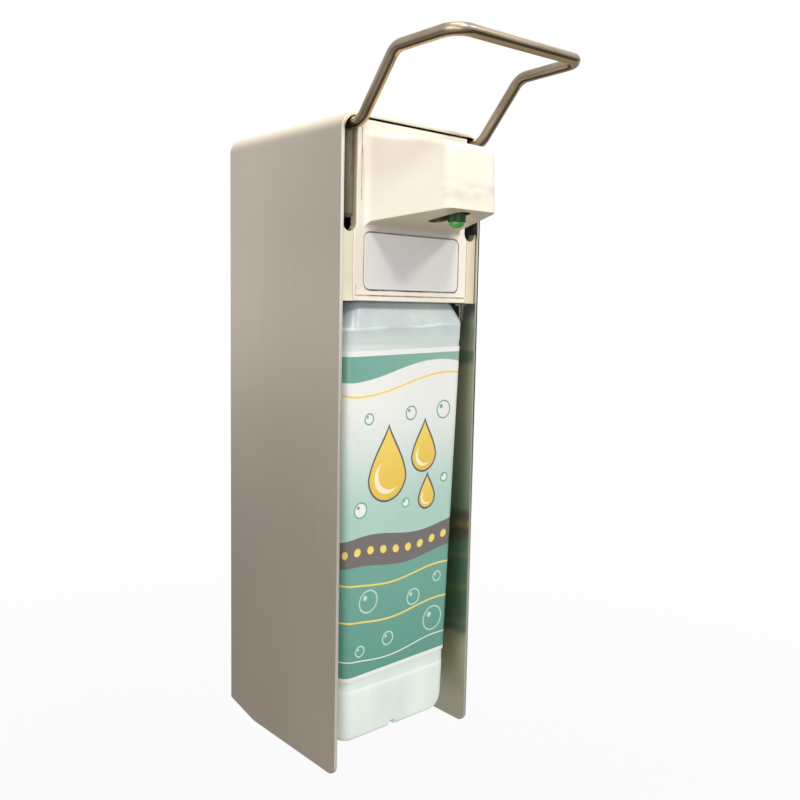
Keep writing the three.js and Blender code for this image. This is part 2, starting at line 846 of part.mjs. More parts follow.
// A flat chain of rings along straight runs and bends, square to the path at each ring
function bentRod(points, radii, diameter, bendSteps, count) {
  const rings = [];
  const path = bentPath(points, radii);
  const stations = [];
  path.curves.forEach((curve, k) => {
    const steps = curve instanceof ArcBetween ? bendSteps : 1;
    for (let i = k === 0 ? 0 : 1; i <= steps; i += 1) {
      stations.push([curve.getPoint(i / steps), curve.getTangent(i / steps)]);
    }
  });
  let up = new THREE.Vector3(0, 0, 1);
  for (const [point, tangent] of stations) {
    const across = tangent.clone().cross(up).normalize();
    up = across.clone().cross(tangent).normalize();
    const circle = [];
    for (let j = 0; j < count; j += 1) {
      const angle = (j / count) * Math.PI * 2;
      circle.push(point.clone()
        .addScaledVector(across, Math.cos(angle) * diameter / 2)
        .addScaledVector(up, Math.sin(angle) * diameter / 2));
    }
    rings.push(circle);
  }
  return loft(rings);
}

function pinYs() {
  return pinReaches.map((reach) => axleY - reach);
}

function leverRod() {
  const tailY = axleY - rodTail;
  const kneeY = frontY - rodFrontReach;
  const upperY = kneeY - rodRun;
  const barY = upperY - rodArm;
  const upperZ = rodZ + rodRise;
  const half = [[tailY, rodZ], [kneeY, rodZ], [upperY, upperZ], [barY, upperZ]];
  const points = [
    ...half.map(([y, z]) => new THREE.Vector3(-rodHalf, y, z)),
    ...half.reverse().map(([y, z]) => new THREE.Vector3(rodHalf, y, z)),
  ];
  const rod = bentRod(points, [rodBend, rodBend, rodCorner, rodCorner, rodBend, rodBend],
    rodDiameter, 5, rodSides);
  const holes = [];
  for (const [, side] of sides) {
    for (const y of pinYs()) {
      holes.push(bar('z', [side * rodHalf, y], pinDiameter + fit * 2, [rodZ - rodDiameter, topZ], 8));
    }
  }
  return cut(rod, ...holes);
}

function rocker() {
  const webFrontY = carrierFrontY - webFrontGap;
  const webFootZ = slotFootZ + webFootRise;
  const webTopZ = rodZ - webTopGap;
  const armFootZ = axleZ - hubDiameter / 2;
  const web = outline([
    [webFrontY, webFootZ + webToeChamfer],
    [webFrontY + webToeChamfer, webFootZ],
    [webFrontY + webToeDepth, webFootZ],
    [bottleY, webTopZ - webArmDrop],
    [axleY, armFootZ],
    [axleY, webTopZ],
    [webFrontY, webTopZ],
  ]);
  const reach = unitHalf - carrierWall - bearingInset - clipThickness - fit * 2;
  let body = bar('x', [axleY, axleZ], hubDiameter, [-reach, reach], 16);
  const beamZ = [padFootZ + padHeight + fit, padFootZ + padHeight + fit + beamHeight];
  body = join(
    body,
    block([-webOuter, webOuter], [bottleY - beamDepth / 2, bottleY + beamDepth / 2], beamZ),
  );
  for (const [, side] of sides) {
    body = join(body, prism(web, 'x', span(side, webInner, webOuter)));
  }
  body = cut(body, bar('x', [axleY, axleZ], axleDiameter + fit * 2, [-innerHalf, innerHalf], 16));
  for (const [, side] of sides) {
    const relief = span(side, reach, innerHalf);
    body = cut(body, bar('x', [axleY, axleZ], clipDiameter + running * 2, relief, 16));
  }
  for (const [, side] of sides) {
    const grooveY = [frontY - overrun, 0];
    body = cut(body, bar('y', [side * rodHalf, rodZ], rodDiameter + fit * 2, grooveY, 16));
    for (const y of pinYs()) {
      const z = [rodZ - pinLength, rodZ + rodRadius];
      body = cut(body, bar('z', [side * rodHalf, y], pinDiameter + fit * 2, z, 8));
    }
  }
  const stud = [beamZ[0] - overrun, beamZ[0] + padStudLength + fit];
  return cut(body, bar('z', [0, bottleY], padStud + fit * 2, stud, 12));
}

function rodPin(side, y) {
  const top = rodZ + rodRadius - fit;
  return bar('z', [side * rodHalf, y], pinDiameter, [top - pinLength, top], 8);
}

function leverAxle() {
  const end = unitHalf - fit;
  const reach = unitHalf - carrierWall - bearingInset;
  const groove = [reach - fit * 2 - clipThickness, reach];
  let axle = bar('x', [axleY, axleZ], axleDiameter, [-end, end], 16);
  for (const [, side] of sides) {
    const x = span(side, groove[0], groove[1]);
    const rim = bar('x', [axleY, axleZ], axleDiameter + overrun, x, 16);
    axle = cut(axle, cut(rim, bar('x', [axleY, axleZ], axleDiameter - clipGrooveDepth * 2, x, 16)));
  }
  return axle;
}

function axleClip(side) {
  const reach = unitHalf - carrierWall - bearingInset - fit;
  const x = span(side, reach - clipThickness, reach);
  const bore = axleDiameter - clipGrooveDepth * 2 + fit * 2;
  const outer = clipDiameter / 2;
  const mouth = clipOpening / 2;
  return cut(
    bar('x', [axleY, axleZ], clipDiameter, x, 16),
    bar('x', [axleY, axleZ], bore, x.map((v, k) => v + (k ? overrun : -overrun)), 16),
    block(x.map((v, k) => v + (k ? overrun : -overrun)), [axleY - mouth, axleY + mouth],
      [axleZ - outer - overrun, axleZ]),
  );
}

function presserPad() {
  const centreZ = padFootZ + padRadius;
  const halfChord = Math.sqrt(padRadius ** 2 - (padRadius - padHeight) ** 2);
  const swing = Math.asin(halfChord / padRadius);
  const shape = new THREE.Shape();
  shape.moveTo(bottleY - halfChord, padFootZ + padHeight);
  shape.absarc(bottleY, centreZ, padRadius, -Math.PI / 2 - swing, -Math.PI / 2 + swing, false);
  const strip = prism(shape, 'x', [-padWidth / 2, padWidth / 2], 8);
  const studZ = [padFootZ + padHeight / 2, padFootZ + padHeight + fit + padStudLength];
  return join(strip, bar('z', [0, bottleY], padStud, studZ, 12));
}

// Bottle

function bottleRing(z, grow, widthShrink, corner, halfX, halfY) {
  const x = halfX - widthShrink + grow;
  const y = halfY - widthShrink + grow;
  const limit = Math.min(x, y) - fit;
  const radius = Math.min(Math.max(corner + grow, fit), limit);
  return cornerPoints([-x, x], [bottleY - y, bottleY + y], [radius, radius, radius, radius], 6)
    .map(([px, py]) => new THREE.Vector3(px, py, z));
}

function bodyHalf(z) {
  const share = (z - bottleFootZ) / (bottleShoulderZ - bottleFootZ);
  return [
    (bottleFootWidth + (bottleWidth - bottleFootWidth) * share) / 2,
    (bottleFootDepth + (bottleDepth - bottleFootDepth) * share) / 2,
  ];
}

function bottleStations() {
  const recessTop = bottleShoulderZ - recessTopDrop;
  const recessFoot = bottleFootZ + recessFootRise;
  const body = (z, shrink) => [z, shrink, bottleCorner - shrink / 2, ...bodyHalf(z)];
  const stations = [];
  const steps = 4;
  for (let i = 0; i <= steps; i += 1) {
    const angle = (i / steps) * Math.PI / 2;
    const z = bottleFootZ + bottleFootRadius * (1 - Math.cos(angle));
    stations.push(body(z, bottleFootRadius * (1 - Math.sin(angle))));
  }
  stations.push(body(recessFoot - recessStep, 0));
  stations.push(body(recessFoot, recessDepth));
  stations.push(body(recessTop, recessDepth));
  stations.push(body(recessTop + recessStep, 0));
  stations.push(body(bottleShoulderZ, 0));
  const cap = [bottleWidth / 2 - shoulderInset, bottleDepth / 2 - shoulderInset];
  stations.push([shoulderCapZ, 0, bottleCorner * capCornerShare, ...cap]);
  const neck = neckDiameter / 2;
  const between = cap.map((half) => (half * 3 + neck * 2) / 5);
  const throatZ = shoulderCapZ + (neckFootZ - shoulderCapZ) * throatShare;
  stations.push([throatZ, 0, bottleCorner * throatCornerShare, ...between]);
  stations.push([neckFootZ - fit * 2, 0, neck, neck, neck]);
  return stations;
}

function bottle() {
  const neck = neckDiameter / 2;
  const stations = bottleStations();
  const outer = stations.map(([z, shrink, corner, hx, hy]) => bottleRing(z, 0, shrink, corner, hx, hy));
  outer.push(bottleRing(neckTopZ, 0, 0, neck, neck, neck));
  const inner = stations.map(([z, shrink, corner, hx, hy], k) => (
    bottleRing(k === 0 ? z + bottleWall : z, -bottleWall, shrink, corner, hx, hy)
  ));
  inner[0] = bottleRing(bottleFootZ + bottleWall, -bottleWall, stations[0][1], stations[0][2],
    stations[0][3], stations[0][4]);
  inner[1] = bottleRing(stations[1][0] + bottleWall / 2, -bottleWall, stations[1][1], stations[1][2],
    stations[1][3], stations[1][4]);
  const bore = neckBore / 2;
  inner[inner.length - 1] = bottleRing(neckFootZ - bottleWall * 2, 0, 0, bore, bore, bore);
  inner.push(bottleRing(neckTopZ + overrun, 0, 0, bore, bore, bore));
  const bead = turned([
    [neckBore / 2 + bottleWall / 2, neckFootZ + neckBeadRise],
    [neck + neckBead, neckFootZ + neckBeadRise + neckBeadHeight / 4],
    [neck + neckBead, neckFootZ + neckBeadRise + neckBeadHeight * 3 / 4],
    [neckBore / 2 + bottleWall / 2, neckFootZ + neckBeadRise + neckBeadHeight],
    [neckBore / 2 + bottleWall / 2, neckFootZ + neckBeadRise],
  ], 0, bottleY, 28);
  return cut(loft(outer), loft(inner)).add(bead);
}

function label() {
  const foot = bottleFootZ + labelFootRise;
  const top = bottleShoulderZ - labelTopDrop;
  const skin = (grow, z0, z1) => loft([z0, z1].map((z) => (
    bottleRing(z, grow, recessDepth, bottleCorner - recessDepth / 2, ...bodyHalf(z))
  )));
  const sheet = cut(
    skin(fit + labelThickness, foot, top),
    skin(fit, foot - overrun, top + overrun),
  );
  const half = casingWidth / 2;
  const backY = bottleY + bottleFootDepth / 2 - labelBackCut;
  return cut(sheet, block([-half, half], [backY, 0], [foot - overrun, top + overrun]));
}

// Pump

function pumpCollar() {
  const bore = neckDiameter / 2 + neckBead + collarNeckGap;
  return turned([
    [collarBore / 2, collarTopZ - collarTop],
    [bore, collarTopZ - collarTop],
    [bore, collarFootZ],
    [collarDiameter / 2, collarFootZ],
    [collarDiameter / 2, collarTopZ - collarChamfer],
    [collarDiameter / 2 - collarChamfer, collarTopZ],
    [collarBore / 2, collarTopZ],
    [collarBore / 2, collarTopZ - collarTop],
  ], 0, bottleY, 32);
}

function neckGasket() {
  return ring(flangeDiameter, cylinderDiameter + fit * 2, [neckTopZ + fit, gasketTopZ], 0, bottleY);
}

function pumpCylinder() {
  const outer = cylinderDiameter / 2;
  const bore = outer - cylinderWall;
  const flangeZ = flangeTopZ - flangeThickness;
  const cage = cageBore / 2;
  const cageFootZ = valveFootZ + tubeSocket + cylinderWall;
  return turned([
    [bore, flangeTopZ],
    [bore, cylinderFootZ + cylinderWall],
    [cageLipBore / 2, cylinderFootZ + cylinderWall],
    [cageLipBore / 2, cylinderFootZ + cylinderWall - cageLip],
    [cage, cylinderFootZ + cylinderWall - cageLip],
    [cage, cageFootZ],
    [valveSeat / 2, cageFootZ - fit],
    [valveSeat / 2, valveFootZ + tubeSocket],
    [tubeDiameter / 2 + fit, valveFootZ + tubeSocket],
    [tubeDiameter / 2 + fit, valveFootZ],
    [valveDiameter / 2, valveFootZ],
    [valveDiameter / 2, cylinderFootZ],
    [outer, cylinderFootZ],
    [outer, flangeZ],
    [flangeDiameter / 2, flangeZ],
    [flangeDiameter / 2, flangeTopZ],
    [bore, flangeTopZ],
  ], 0, bottleY, 24);
}

// A ball that lies over the rim of a hole
function valveBall(diameter, hole, rimZ) {
  const height = Math.sqrt((diameter / 2) ** 2 - (hole / 2) ** 2);
  const ball = new THREE.SphereGeometry(diameter / 2, 12, 8);
  ball.rotateX(Math.PI / 2);
  ball.translate(0, bottleY, rimZ + height + fit);
  return toSolid(ball);
}

function inletBall() {
  return valveBall(ballDiameter, valveSeat, valveFootZ + tubeSocket + cylinderWall);
}

function outletBall() {
  return valveBall(outletBallDiameter, stemBore, headFootZ + headSocket - fit);
}

function dipTube() {
  const z = [bottleFootZ + bottleWall + tubeFootGap, valveFootZ + tubeSocket - fit];
  return ring(tubeDiameter, tubeBore, z, 0, bottleY, 14);
}

function sealFootZ() {
  return collarTopZ - stemReach - sealHeight;
}

function pistonStem() {
  const stem = stemDiameter / 2;
  const core = stem - sealGroove;
  const foot = sealFootZ();
  const lip = sealGroove;
  return turned([
    [stemBore / 2, foot - lip],
    [stem, foot - lip],
    [stem, foot - fit],
    [core, foot - fit],
    [core, foot + sealHeight + fit],
    [stem, foot + sealHeight + fit],
    [stem, headFootZ + headSocket - fit],
    [stemBore / 2, headFootZ + headSocket - fit],
    [stemBore / 2, foot - lip],
  ], 0, bottleY, 20);
}

function pistonSeal() {
  const outer = cylinderDiameter / 2 - cylinderWall - fit;
  const inner = stemDiameter / 2 - sealGroove + fit;
  const foot = sealFootZ();
  const lip = sealGroove;
  return turned([
    [inner, foot],
    [outer - lip, foot + lip],
    [outer, foot],
    [outer, foot + sealHeight],
    [outer - lip, foot + sealHeight - lip],
    [inner, foot + sealHeight],
    [inner, foot],
  ], 0, bottleY, 24);
}

function pumpHead() {
  const outer = headDiameter / 2;
  const hub = headHub / 2;
  const skirtZ = headFootZ + headSkirt;
  const socket = stemDiameter / 2 + fit;
  const head = turned([
    [0, headFootZ + headSocket],
    [socket, headFootZ + headSocket],
    [socket, headFootZ],
    [hub, headFootZ],
    [hub, skirtZ - headFlange],
    [outer - headChamfer, skirtZ - headFlange],
    [outer, skirtZ - headFlange + headChamfer],
    [outer, skirtZ + headSkirt / 2],
    [headTopDiameter / 2 + headChamfer, headTopZ - headDome],
    [headTopDiameter / 2, headTopZ - headChamfer],
    [headTopDiameter / 2 - headChamfer, headTopZ],
    [0, headTopZ],
  ], 0, bottleY, 28);
  const duct = [bottleY - headDiameter, bottleY - spoutRootReach + fit];
  const way = stemBore / 2;
  const chamberZ = headFootZ + headSocket;
  return cut(
    head,
    bar('y', [0, spoutZ], spoutDiameter + fit * 2, duct, 12),
    bar('y', [0, spoutZ], stemBore, [bottleY - spoutRootReach, bottleY + way], 12),
    bar('z', [0, bottleY], valveChamber, [chamberZ - overrun, chamberZ + valveChamberHeight], 16),
    bar('z', [0, bottleY], stemBore, [chamberZ, spoutZ], 12),
  );
}

function spoutTube() {
  const points = [
    new THREE.Vector3(0, bottleY - spoutRootReach, spoutZ),
    new THREE.Vector3(0, nozzleY, spoutZ),
    new THREE.Vector3(0, nozzleY, nozzleTopZ() - nozzleRingOverlap),
  ];
  return cut(
    bentRod(points, [spoutBend], spoutDiameter, 5, 12),
    bentRod([
      points[0].clone().add(new THREE.Vector3(0, overrun, 0)),
      points[1],
      points[2].clone().sub(new THREE.Vector3(0, 0, overrun)),
    ], [spoutBend], spoutBore, 5, 10),
  );
}

function nozzleTopZ() {
  return hoodTipFoot - hoodWall / 2 + nozzleRingOverlap - fit;
}

function nozzleRing() {
  const top = nozzleTopZ();
  const foot = top - nozzleRingHeight;
  const tubeBoreRadius = spoutDiameter / 2 + fit;
  const spigotRadius = nozzleSpigotDiameter / 2 + fit;
  return turned([
    [tubeBoreRadius, top],
    [tubeBoreRadius, top - nozzleRingOverlap - fit],
    [spoutBore / 2, top - nozzleRingOverlap - fit],
    [spoutBore / 2, foot + nozzleSpigot + fit],
    [spigotRadius, foot + nozzleSpigot + fit],
    [spigotRadius, foot],
    [nozzleDiameter / 2, foot],
    [nozzleDiameter / 2, top],
    [tubeBoreRadius, top],
  ], 0, nozzleY, 20);
}

function nozzleTip() {
  const top = nozzleTopZ() - nozzleRingHeight - fit;
  const foot = top - nozzleTipHeight;
  const wide = nozzleTipDiameter / 2;
  return turned([
    [nozzleTipBore / 2, foot],
    [nozzleTipEnd / 2, foot],
    [wide - nozzleTipHeight / 5, foot + nozzleTipHeight * 0.4],
    [wide, foot + nozzleTipHeight * 0.75],
    [wide, top],
    [nozzleSpigotDiameter / 2, top],
    [nozzleSpigotDiameter / 2, top + fit + nozzleSpigot],
    [nozzleTipBore / 2, top + fit + nozzleSpigot],
    [nozzleTipBore / 2, foot],
  ], 0, nozzleY, 20);
}

// Wire coil round the stem: each curl has the same number of steps, each ring the same sides
function returnSpring() {
  const foot = collarTopZ + fit;
  const top = headFootZ + headSkirt - headFlange - fit;
  const radius = (springOuter - springWire) / 2;
  const rise = top - foot - springWire;
  const rings = [];
  const total = springCurls * springSteps;
  for (let i = 0; i <= total; i += 1) {
    const share = i / total;
    const turn = share * springCurls * Math.PI * 2;
    const outward = new THREE.Vector3(Math.cos(turn), Math.sin(turn), 0);
    const z = foot + springWire / 2 + share * rise;
    const centre = outward.clone().multiplyScalar(radius).add(new THREE.Vector3(0, bottleY, z));
    const circle = [];
    for (let j = 0; j < springSides; j += 1) {
      const angle = (j / springSides) * Math.PI * 2;
      circle.push(centre.clone()
        .addScaledVector(outward, Math.cos(angle) * springWire / 2)
        .add(new THREE.Vector3(0, 0, Math.sin(angle) * springWire / 2)));
    }
    rings.push(circle);
  }
  console.log(`return_spring: least gap to itself ${leastGap(rings).toFixed(2)} mm`);
  return loft(rings);
}

// Smallest distance between the points of rings that lie half a curl or more apart
function leastGap(rings) {
  let least = Infinity;
  rings.forEach((ringPoints, i) => {
    for (const far of rings.slice(i + springSteps / 2)) {
      for (const a of ringPoints) {
        for (const b of far) least = Math.min(least, a.distanceTo(b));
      }
    }
  });
  return least;
}

// The whole dispenser

piece('casing_shell', casingShell(), 'casingSteel');
piece('back_plate', backPlate(), 'plateSteel');
piece('bottle_shelf', bottleShelf(), 'plateSteel');
for (const [name, side] of sides) {
  piece(`shelf_rivet_${name}`, shelfRivet(side), 'darkSteel');
  piece(`runner_rail_${name}`, rail(side), 'plateSteel');
}
piece('carrier', carrier(), 'yellowIvory');
piece('front_cover', frontCover(), 'ivory');
piece('front_plate', frontPlate(), 'greyPlastic');
for (const [name, side] of sides) {
  piece(`cover_screw_${name}`, coverScrew(side), 'darkSteel');
}
piece('lever_axle', leverAxle(), 'darkSteel');
for (const [name, side] of sides) {
  piece(`axle_clip_${name}`, axleClip(side), 'darkSteel');
}
piece('lever_rod', leverRod(), 'rodSteel');
piece('rocker', rocker(), 'greyPlastic');
for (const [name, side] of sides) {
  pinYs().forEach((y, k) => {
    piece(`rod_pin_${name}_${k ? 'rear' : 'front'}`, rodPin(side, y), 'darkSteel');
  });
}
piece('presser_pad', presserPad(), 'rubber');
piece('bottle', bottle(), 'milkyPlastic');
piece('label', label(), 'labelPrint');
piece('pump_collar', pumpCollar(), 'whitePlastic');
piece('neck_gasket', neckGasket(), 'rubber');
piece('pump_cylinder', pumpCylinder(), 'whitePlastic');
piece('inlet_ball', inletBall(), 'darkSteel');
piece('outlet_ball', outletBall(), 'darkSteel');
piece('dip_tube', dipTube(), 'whitePlastic');
piece('piston_stem', pistonStem(), 'whitePlastic');
piece('piston_seal', pistonSeal(), 'rubber');
piece('return_spring', returnSpring(), 'rodSteel');
piece('pump_head', pumpHead(), 'whitePlastic');
piece('spout_tube', spoutTube(), 'rodSteel');
piece('nozzle_ring', nozzleRing(), 'blackGreen');
piece('nozzle_tip', nozzleTip(), 'green');

export default part;
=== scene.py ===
import bpy
import bmesh
import json
import math
from mathutils import Matrix, Vector

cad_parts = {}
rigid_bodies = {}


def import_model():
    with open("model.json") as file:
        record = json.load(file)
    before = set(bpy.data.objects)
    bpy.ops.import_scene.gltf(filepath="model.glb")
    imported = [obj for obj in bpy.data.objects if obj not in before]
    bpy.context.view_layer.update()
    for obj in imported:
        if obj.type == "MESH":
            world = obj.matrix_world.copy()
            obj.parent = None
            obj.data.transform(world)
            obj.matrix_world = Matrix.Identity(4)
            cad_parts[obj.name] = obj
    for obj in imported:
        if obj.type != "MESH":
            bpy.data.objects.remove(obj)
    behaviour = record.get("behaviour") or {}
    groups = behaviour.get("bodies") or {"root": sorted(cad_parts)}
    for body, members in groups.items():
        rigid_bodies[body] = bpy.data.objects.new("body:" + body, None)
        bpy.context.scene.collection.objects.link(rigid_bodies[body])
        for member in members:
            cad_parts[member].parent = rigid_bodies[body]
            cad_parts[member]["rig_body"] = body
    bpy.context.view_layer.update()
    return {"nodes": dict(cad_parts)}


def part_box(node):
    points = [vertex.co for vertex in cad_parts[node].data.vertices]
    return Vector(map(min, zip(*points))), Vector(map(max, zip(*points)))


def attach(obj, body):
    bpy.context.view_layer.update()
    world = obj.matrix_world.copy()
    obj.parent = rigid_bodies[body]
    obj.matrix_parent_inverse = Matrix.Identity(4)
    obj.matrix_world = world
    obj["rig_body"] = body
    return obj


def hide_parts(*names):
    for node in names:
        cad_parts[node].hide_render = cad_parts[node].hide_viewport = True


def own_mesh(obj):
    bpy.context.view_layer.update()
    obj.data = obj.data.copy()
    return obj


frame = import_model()

# Soap dispenser with an elbow lever, in metres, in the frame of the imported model.
# +Z is up, the front faces -Y, the wall is the plane y = 0.

mm = 0.001

scene = bpy.context.scene
print("frame loaded:", len(frame["nodes"]), "nodes")


# Modelling helpers

def inMm(values):  # settings in millimetres, single or in groups
    return {key: tuple(part * mm for part in value) if isinstance(value, tuple) else value * mm
            for key, value in values.items()}


def clearSelection():
    if bpy.context.object and bpy.context.object.mode != "OBJECT":
        bpy.ops.object.mode_set(mode="OBJECT")
    bpy.ops.object.select_all(action="DESELECT")


def makeActive(piece):
    clearSelection()
    piece.select_set(True)
    bpy.context.view_layer.objects.active = piece


def openEdit(piece, kind="FACE"):
    makeActive(piece)
    bpy.ops.object.mode_set(mode="EDIT")
    bpy.ops.mesh.select_mode(type=kind)
    bpy.ops.mesh.select_all(action="DESELECT")


def closeEdit():  # needed only where no other helper comes next
    bpy.ops.object.mode_set(mode="OBJECT")


def selectAll():
    bpy.ops.mesh.select_all(action="SELECT")


def choose(piece, kind, test):  # kind is verts, edges or faces
    mesh = bmesh.from_edit_mesh(piece.data)
    for group in (mesh.faces, mesh.edges, mesh.verts):
        for element in group:
            element.select_set(False)
    for element in getattr(mesh, kind):
        if test(element):
            element.select_set(True)
    mesh.select_flush_mode()
    bmesh.update_edit_mesh(piece.data)


def middle(edge):
    return (edge.verts[0].co + edge.verts[1].co) / 2


def runsAlong(edge, axis, share=0.98):
    way = edge.verts[1].co - edge.verts[0].co
    return way.length > 0 and abs(way[axis]) > share * way.length


def rises(edge):
    return abs(edge.verts[0].co.z - edge.verts[1].co.z) > 1 * mm


def near(value, target, slack=0.05 * mm):
    return abs(value - target) < slack


def liesAt(edge, axis, target):
    return all(near(vert.co[axis], target) for vert in edge.verts)


def named(name, scale=(1, 1, 1)):  # the object just added, with its transform applied
    piece = bpy.context.object
    piece.name = name
    piece.data.name = name
    piece.scale = [own * share for own, share in zip(piece.scale, scale)]
    bpy.ops.object.transform_apply(location=True, rotation=True, scale=True)
    return piece


def addBox(name, low, high):
    clearSelection()
    low, high = Vector(low), Vector(high)
    bpy.ops.mesh.primitive_cube_add(size=1, location=(low + high) / 2, scale=high - low)
    return named(name)


def addTaper(name, centre, foot, top):  # half width, half depth, level; left with its top selected
    (x, y, low), (topX, topY, high) = foot, top
    piece = addBox(name, (-x, centre - y, low), (x, centre + y, high))
    openEdit(piece)
    choose(piece, "faces", lambda face: face.normal.z > 0.9)
    bpy.ops.transform.resize(value=(topX / x, topY / y, 1), center_override=(0, centre, 0))
    return piece


def addRound(name, centre, radius, height, sides):
    clearSelection()
    bpy.ops.mesh.primitive_cylinder_add(vertices=sides, radius=radius, depth=height, location=centre)
    return named(name)


def addUpright(name, centre, width, height):  # a flat sheet that faces the front
    clearSelection()
    bpy.ops.mesh.primitive_plane_add(size=1, location=centre, rotation=(math.pi / 2, 0, 0))
    return named(name, (width, height, 1))


def addRing(name, centre, radius, sides):  # an open circle that faces the front
    clearSelection()
    bpy.ops.mesh.primitive_circle_add(vertices=sides, radius=radius, fill_type="NOTHING",
                                      location=centre, rotation=(math.pi / 2, 0, 0))
    return named(name)


def extrude(step):
    bpy.ops.mesh.extrude_region_move(TRANSFORM_OT_translate={"value": step})


def cutPlane(place, normal, **values):
    selectAll()
    bpy.ops.mesh.bisect(plane_co=place, plane_no=normal, **values)


def bevelWhere(piece, test, width, steps=4):
    openEdit(piece, "EDGE")
    choose(piece, "edges", test)
    bpy.ops.mesh.bevel(offset=width, segments=steps, affect="EDGES", clamp_overlap=True)
    closeEdit()


def applyModifier(piece, kind, **values):
    makeActive(piece)
    modifier = piece.modifiers.new(kind.title(), kind)
    for key, value in values.items():
        setattr(modifier, key, value)
    bpy.ops.object.modifier_apply(modifier=modifier.name)


def combine(piece, other, way="DIFFERENCE"):
    applyModifier(piece, "BOOLEAN", object=other, operation=way, solver="EXACT")
    bpy.data.objects.remove(other)


def cleanUp(piece, merge=0.002 * mm):
    openEdit(piece, "VERT")
    selectAll()
    bpy.ops.mesh.remove_doubles(threshold=merge)
    bpy.ops.mesh.normals_make_consistent(inside=False)
    closeEdit()


def capEnds(piece, isSecond):  # closes a tube's two open ends, one after the other
    openEdit(piece, "EDGE")
    for second in (False, True):
        choose(piece, "edges", lambda edge: edge.is_boundary and isSecond(edge) == second)
        bpy.ops.mesh.edge_face_add()
    cleanUp(piece)


def roundEdges(piece, width, steps=2, angle=40):
    applyModifier(piece, "BEVEL", width=width, segments=steps, limit_method="ANGLE",
                  angle_limit=math.radians(angle), use_clamp_overlap=True)


def dress(piece, finish, body, node, angle, weighted=False):  # smooth up to angle, then finish and body
    makeActive(piece)
    bpy.ops.object.shade_smooth_by_angle(angle=math.radians(angle))
    if weighted:
        applyModifier(piece, "WEIGHTED_NORMAL", keep_sharp=True, weight=60)
    material, slot = finishes[finish]
    piece.data.materials.clear()
    piece.data.materials.append(material)
    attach(piece, body)
    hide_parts(node)


# Node helpers for the finishes

def colour(red, green, blue):  # screen values 0 to 255 to scene colour
    def one(value):
        value = value / 255
        return value / 12.92 if value <= 0.04045 else ((value + 0.055) / 1.055) ** 2.4
    return (one(red), one(green), one(blue), 1)


def addNode(tree, kind, inputs=None, **values):
    node = tree.nodes.new(kind)
    for key, value in values.items():
        setattr(node, key, value)
    for key, value in (inputs or {}).items():
        if isinstance(value, Field):
            tree.links.new(value.socket, node.inputs[key])
        else:
            node.inputs[key].default_value = value
    return node


def calc(way, *values):
    tree = next(value.tree for value in values if isinstance(value, Field))
    return Field(tree, addNode(tree, "ShaderNodeMath", dict(enumerate(values)), operation=way).outputs[0])


def largest(first, second):
    return calc("MAXIMUM", first, second)


def smallest(first, second):
    return calc("MINIMUM", first, second)


class Field:  # a value that varies over a surface; arithmetic with it adds math nodes
    def __init__(self, tree, socket):
        self.tree = tree
        self.socket = socket

    def __add__(self, other):
        return calc("ADD", self, other)

    def __sub__(self, other):
        return calc("SUBTRACT", self, other)

    def __rsub__(self, other):
        return calc("SUBTRACT", other, self)

    def __mul__(self, other):
        return calc("MULTIPLY", self, other)

    def __truediv__(self, other):
        return calc("DIVIDE", self, other)

    def __abs__(self):
        return calc("ABSOLUTE", self)

    def ramp(self, low, high, start=0, end=1, kind="LINEAR"):
        return Field(self.tree, addNode(self.tree, "ShaderNodeMapRange", {
            "Value": self, "From Min": low, "From Max": high, "To Min": start, "To Max": end,
        }, interpolation_type=kind).outputs["Result"])

    def ease(self, low, high, start=0, end=1):
        return self.ramp(low, high, start, end, "SMOOTHSTEP")

    def fade(self, low, high, peak=1):
        return self.ramp(low, high, peak, 0)


class Finish:  # a node material under way; tone is its colour so far
    def __init__(self, name, settings, **values):  # values are the same all over the surface
        self.settings = settings
        self.material = bpy.data.materials.new(name)
        self.material.use_nodes = True
        self.tree = self.material.node_tree
        self.shader = self.tree.nodes["Principled BSDF"]
        for key, value in values.items():
            self.shader.inputs[key.replace("_", " ")].default_value = value

    def field(self, kind, output, inputs=None, **values):
        return Field(self.tree, addNode(self.tree, kind, inputs, **values).outputs[output])

    def split(self, vector):
        parts = addNode(self.tree, "ShaderNodeSeparateXYZ", {"Vector": vector}).outputs
        return [Field(self.tree, part) for part in parts]

    def axes(self, source="Object"):
        return self.split(self.field("ShaderNodeTexCoord", source))

    def facing(self):
        return self.field("ShaderNodeNewGeometry", "Normal")

    def place(self, stretch=(1, 1, 1)):
        return self.field("ShaderNodeMapping", "Vector", {
            "Vector": self.field("ShaderNodeTexCoord", "Object"), "Scale": stretch})

    def noise(self, scale, stretch=(1, 1, 1), detail=3):
        return self.field("ShaderNodeTexNoise", "Fac", {
            "Vector": self.place(stretch), "Scale": scale, "Detail": detail, "Roughness": 0.55})

    def cells(self, scale):
        return self.field("ShaderNodeTexVoronoi", "Distance", {"Vector": self.place(), "Scale": scale})

    def crevices(self, reach, power):  # 0 in open places, 1 deep in a seam or corner
        shadow = self.field("ShaderNodeAmbientOcclusion", "AO", {"Distance": reach}, samples=8)
        return calc("POWER", 1 - shadow, power)

    def mix(self, share, first, second):  # each a field or the name of a colour in the settings
        first, second = (colour(*self.settings[tint]) if isinstance(tint, str) else tint for tint in (first, second))
        return self.field("ShaderNodeMix", 2, {0: share, 6: first, 7: second}, data_type="RGBA")

    def paint(self, share, tint):
        self.tone = self.mix(share, self.tone, tint)

    def close(self, roughness, height, strength, distance):
        bump = self.field("ShaderNodeBump", "Normal", {"Height": height, "Strength": strength, "Distance": distance})
        for name, value in (("Base Color", self.tone), ("Roughness", roughness), ("Normal", bump)):
            self.tree.links.new(value.socket, self.shader.inputs[name])
        return self.material


# Finishes

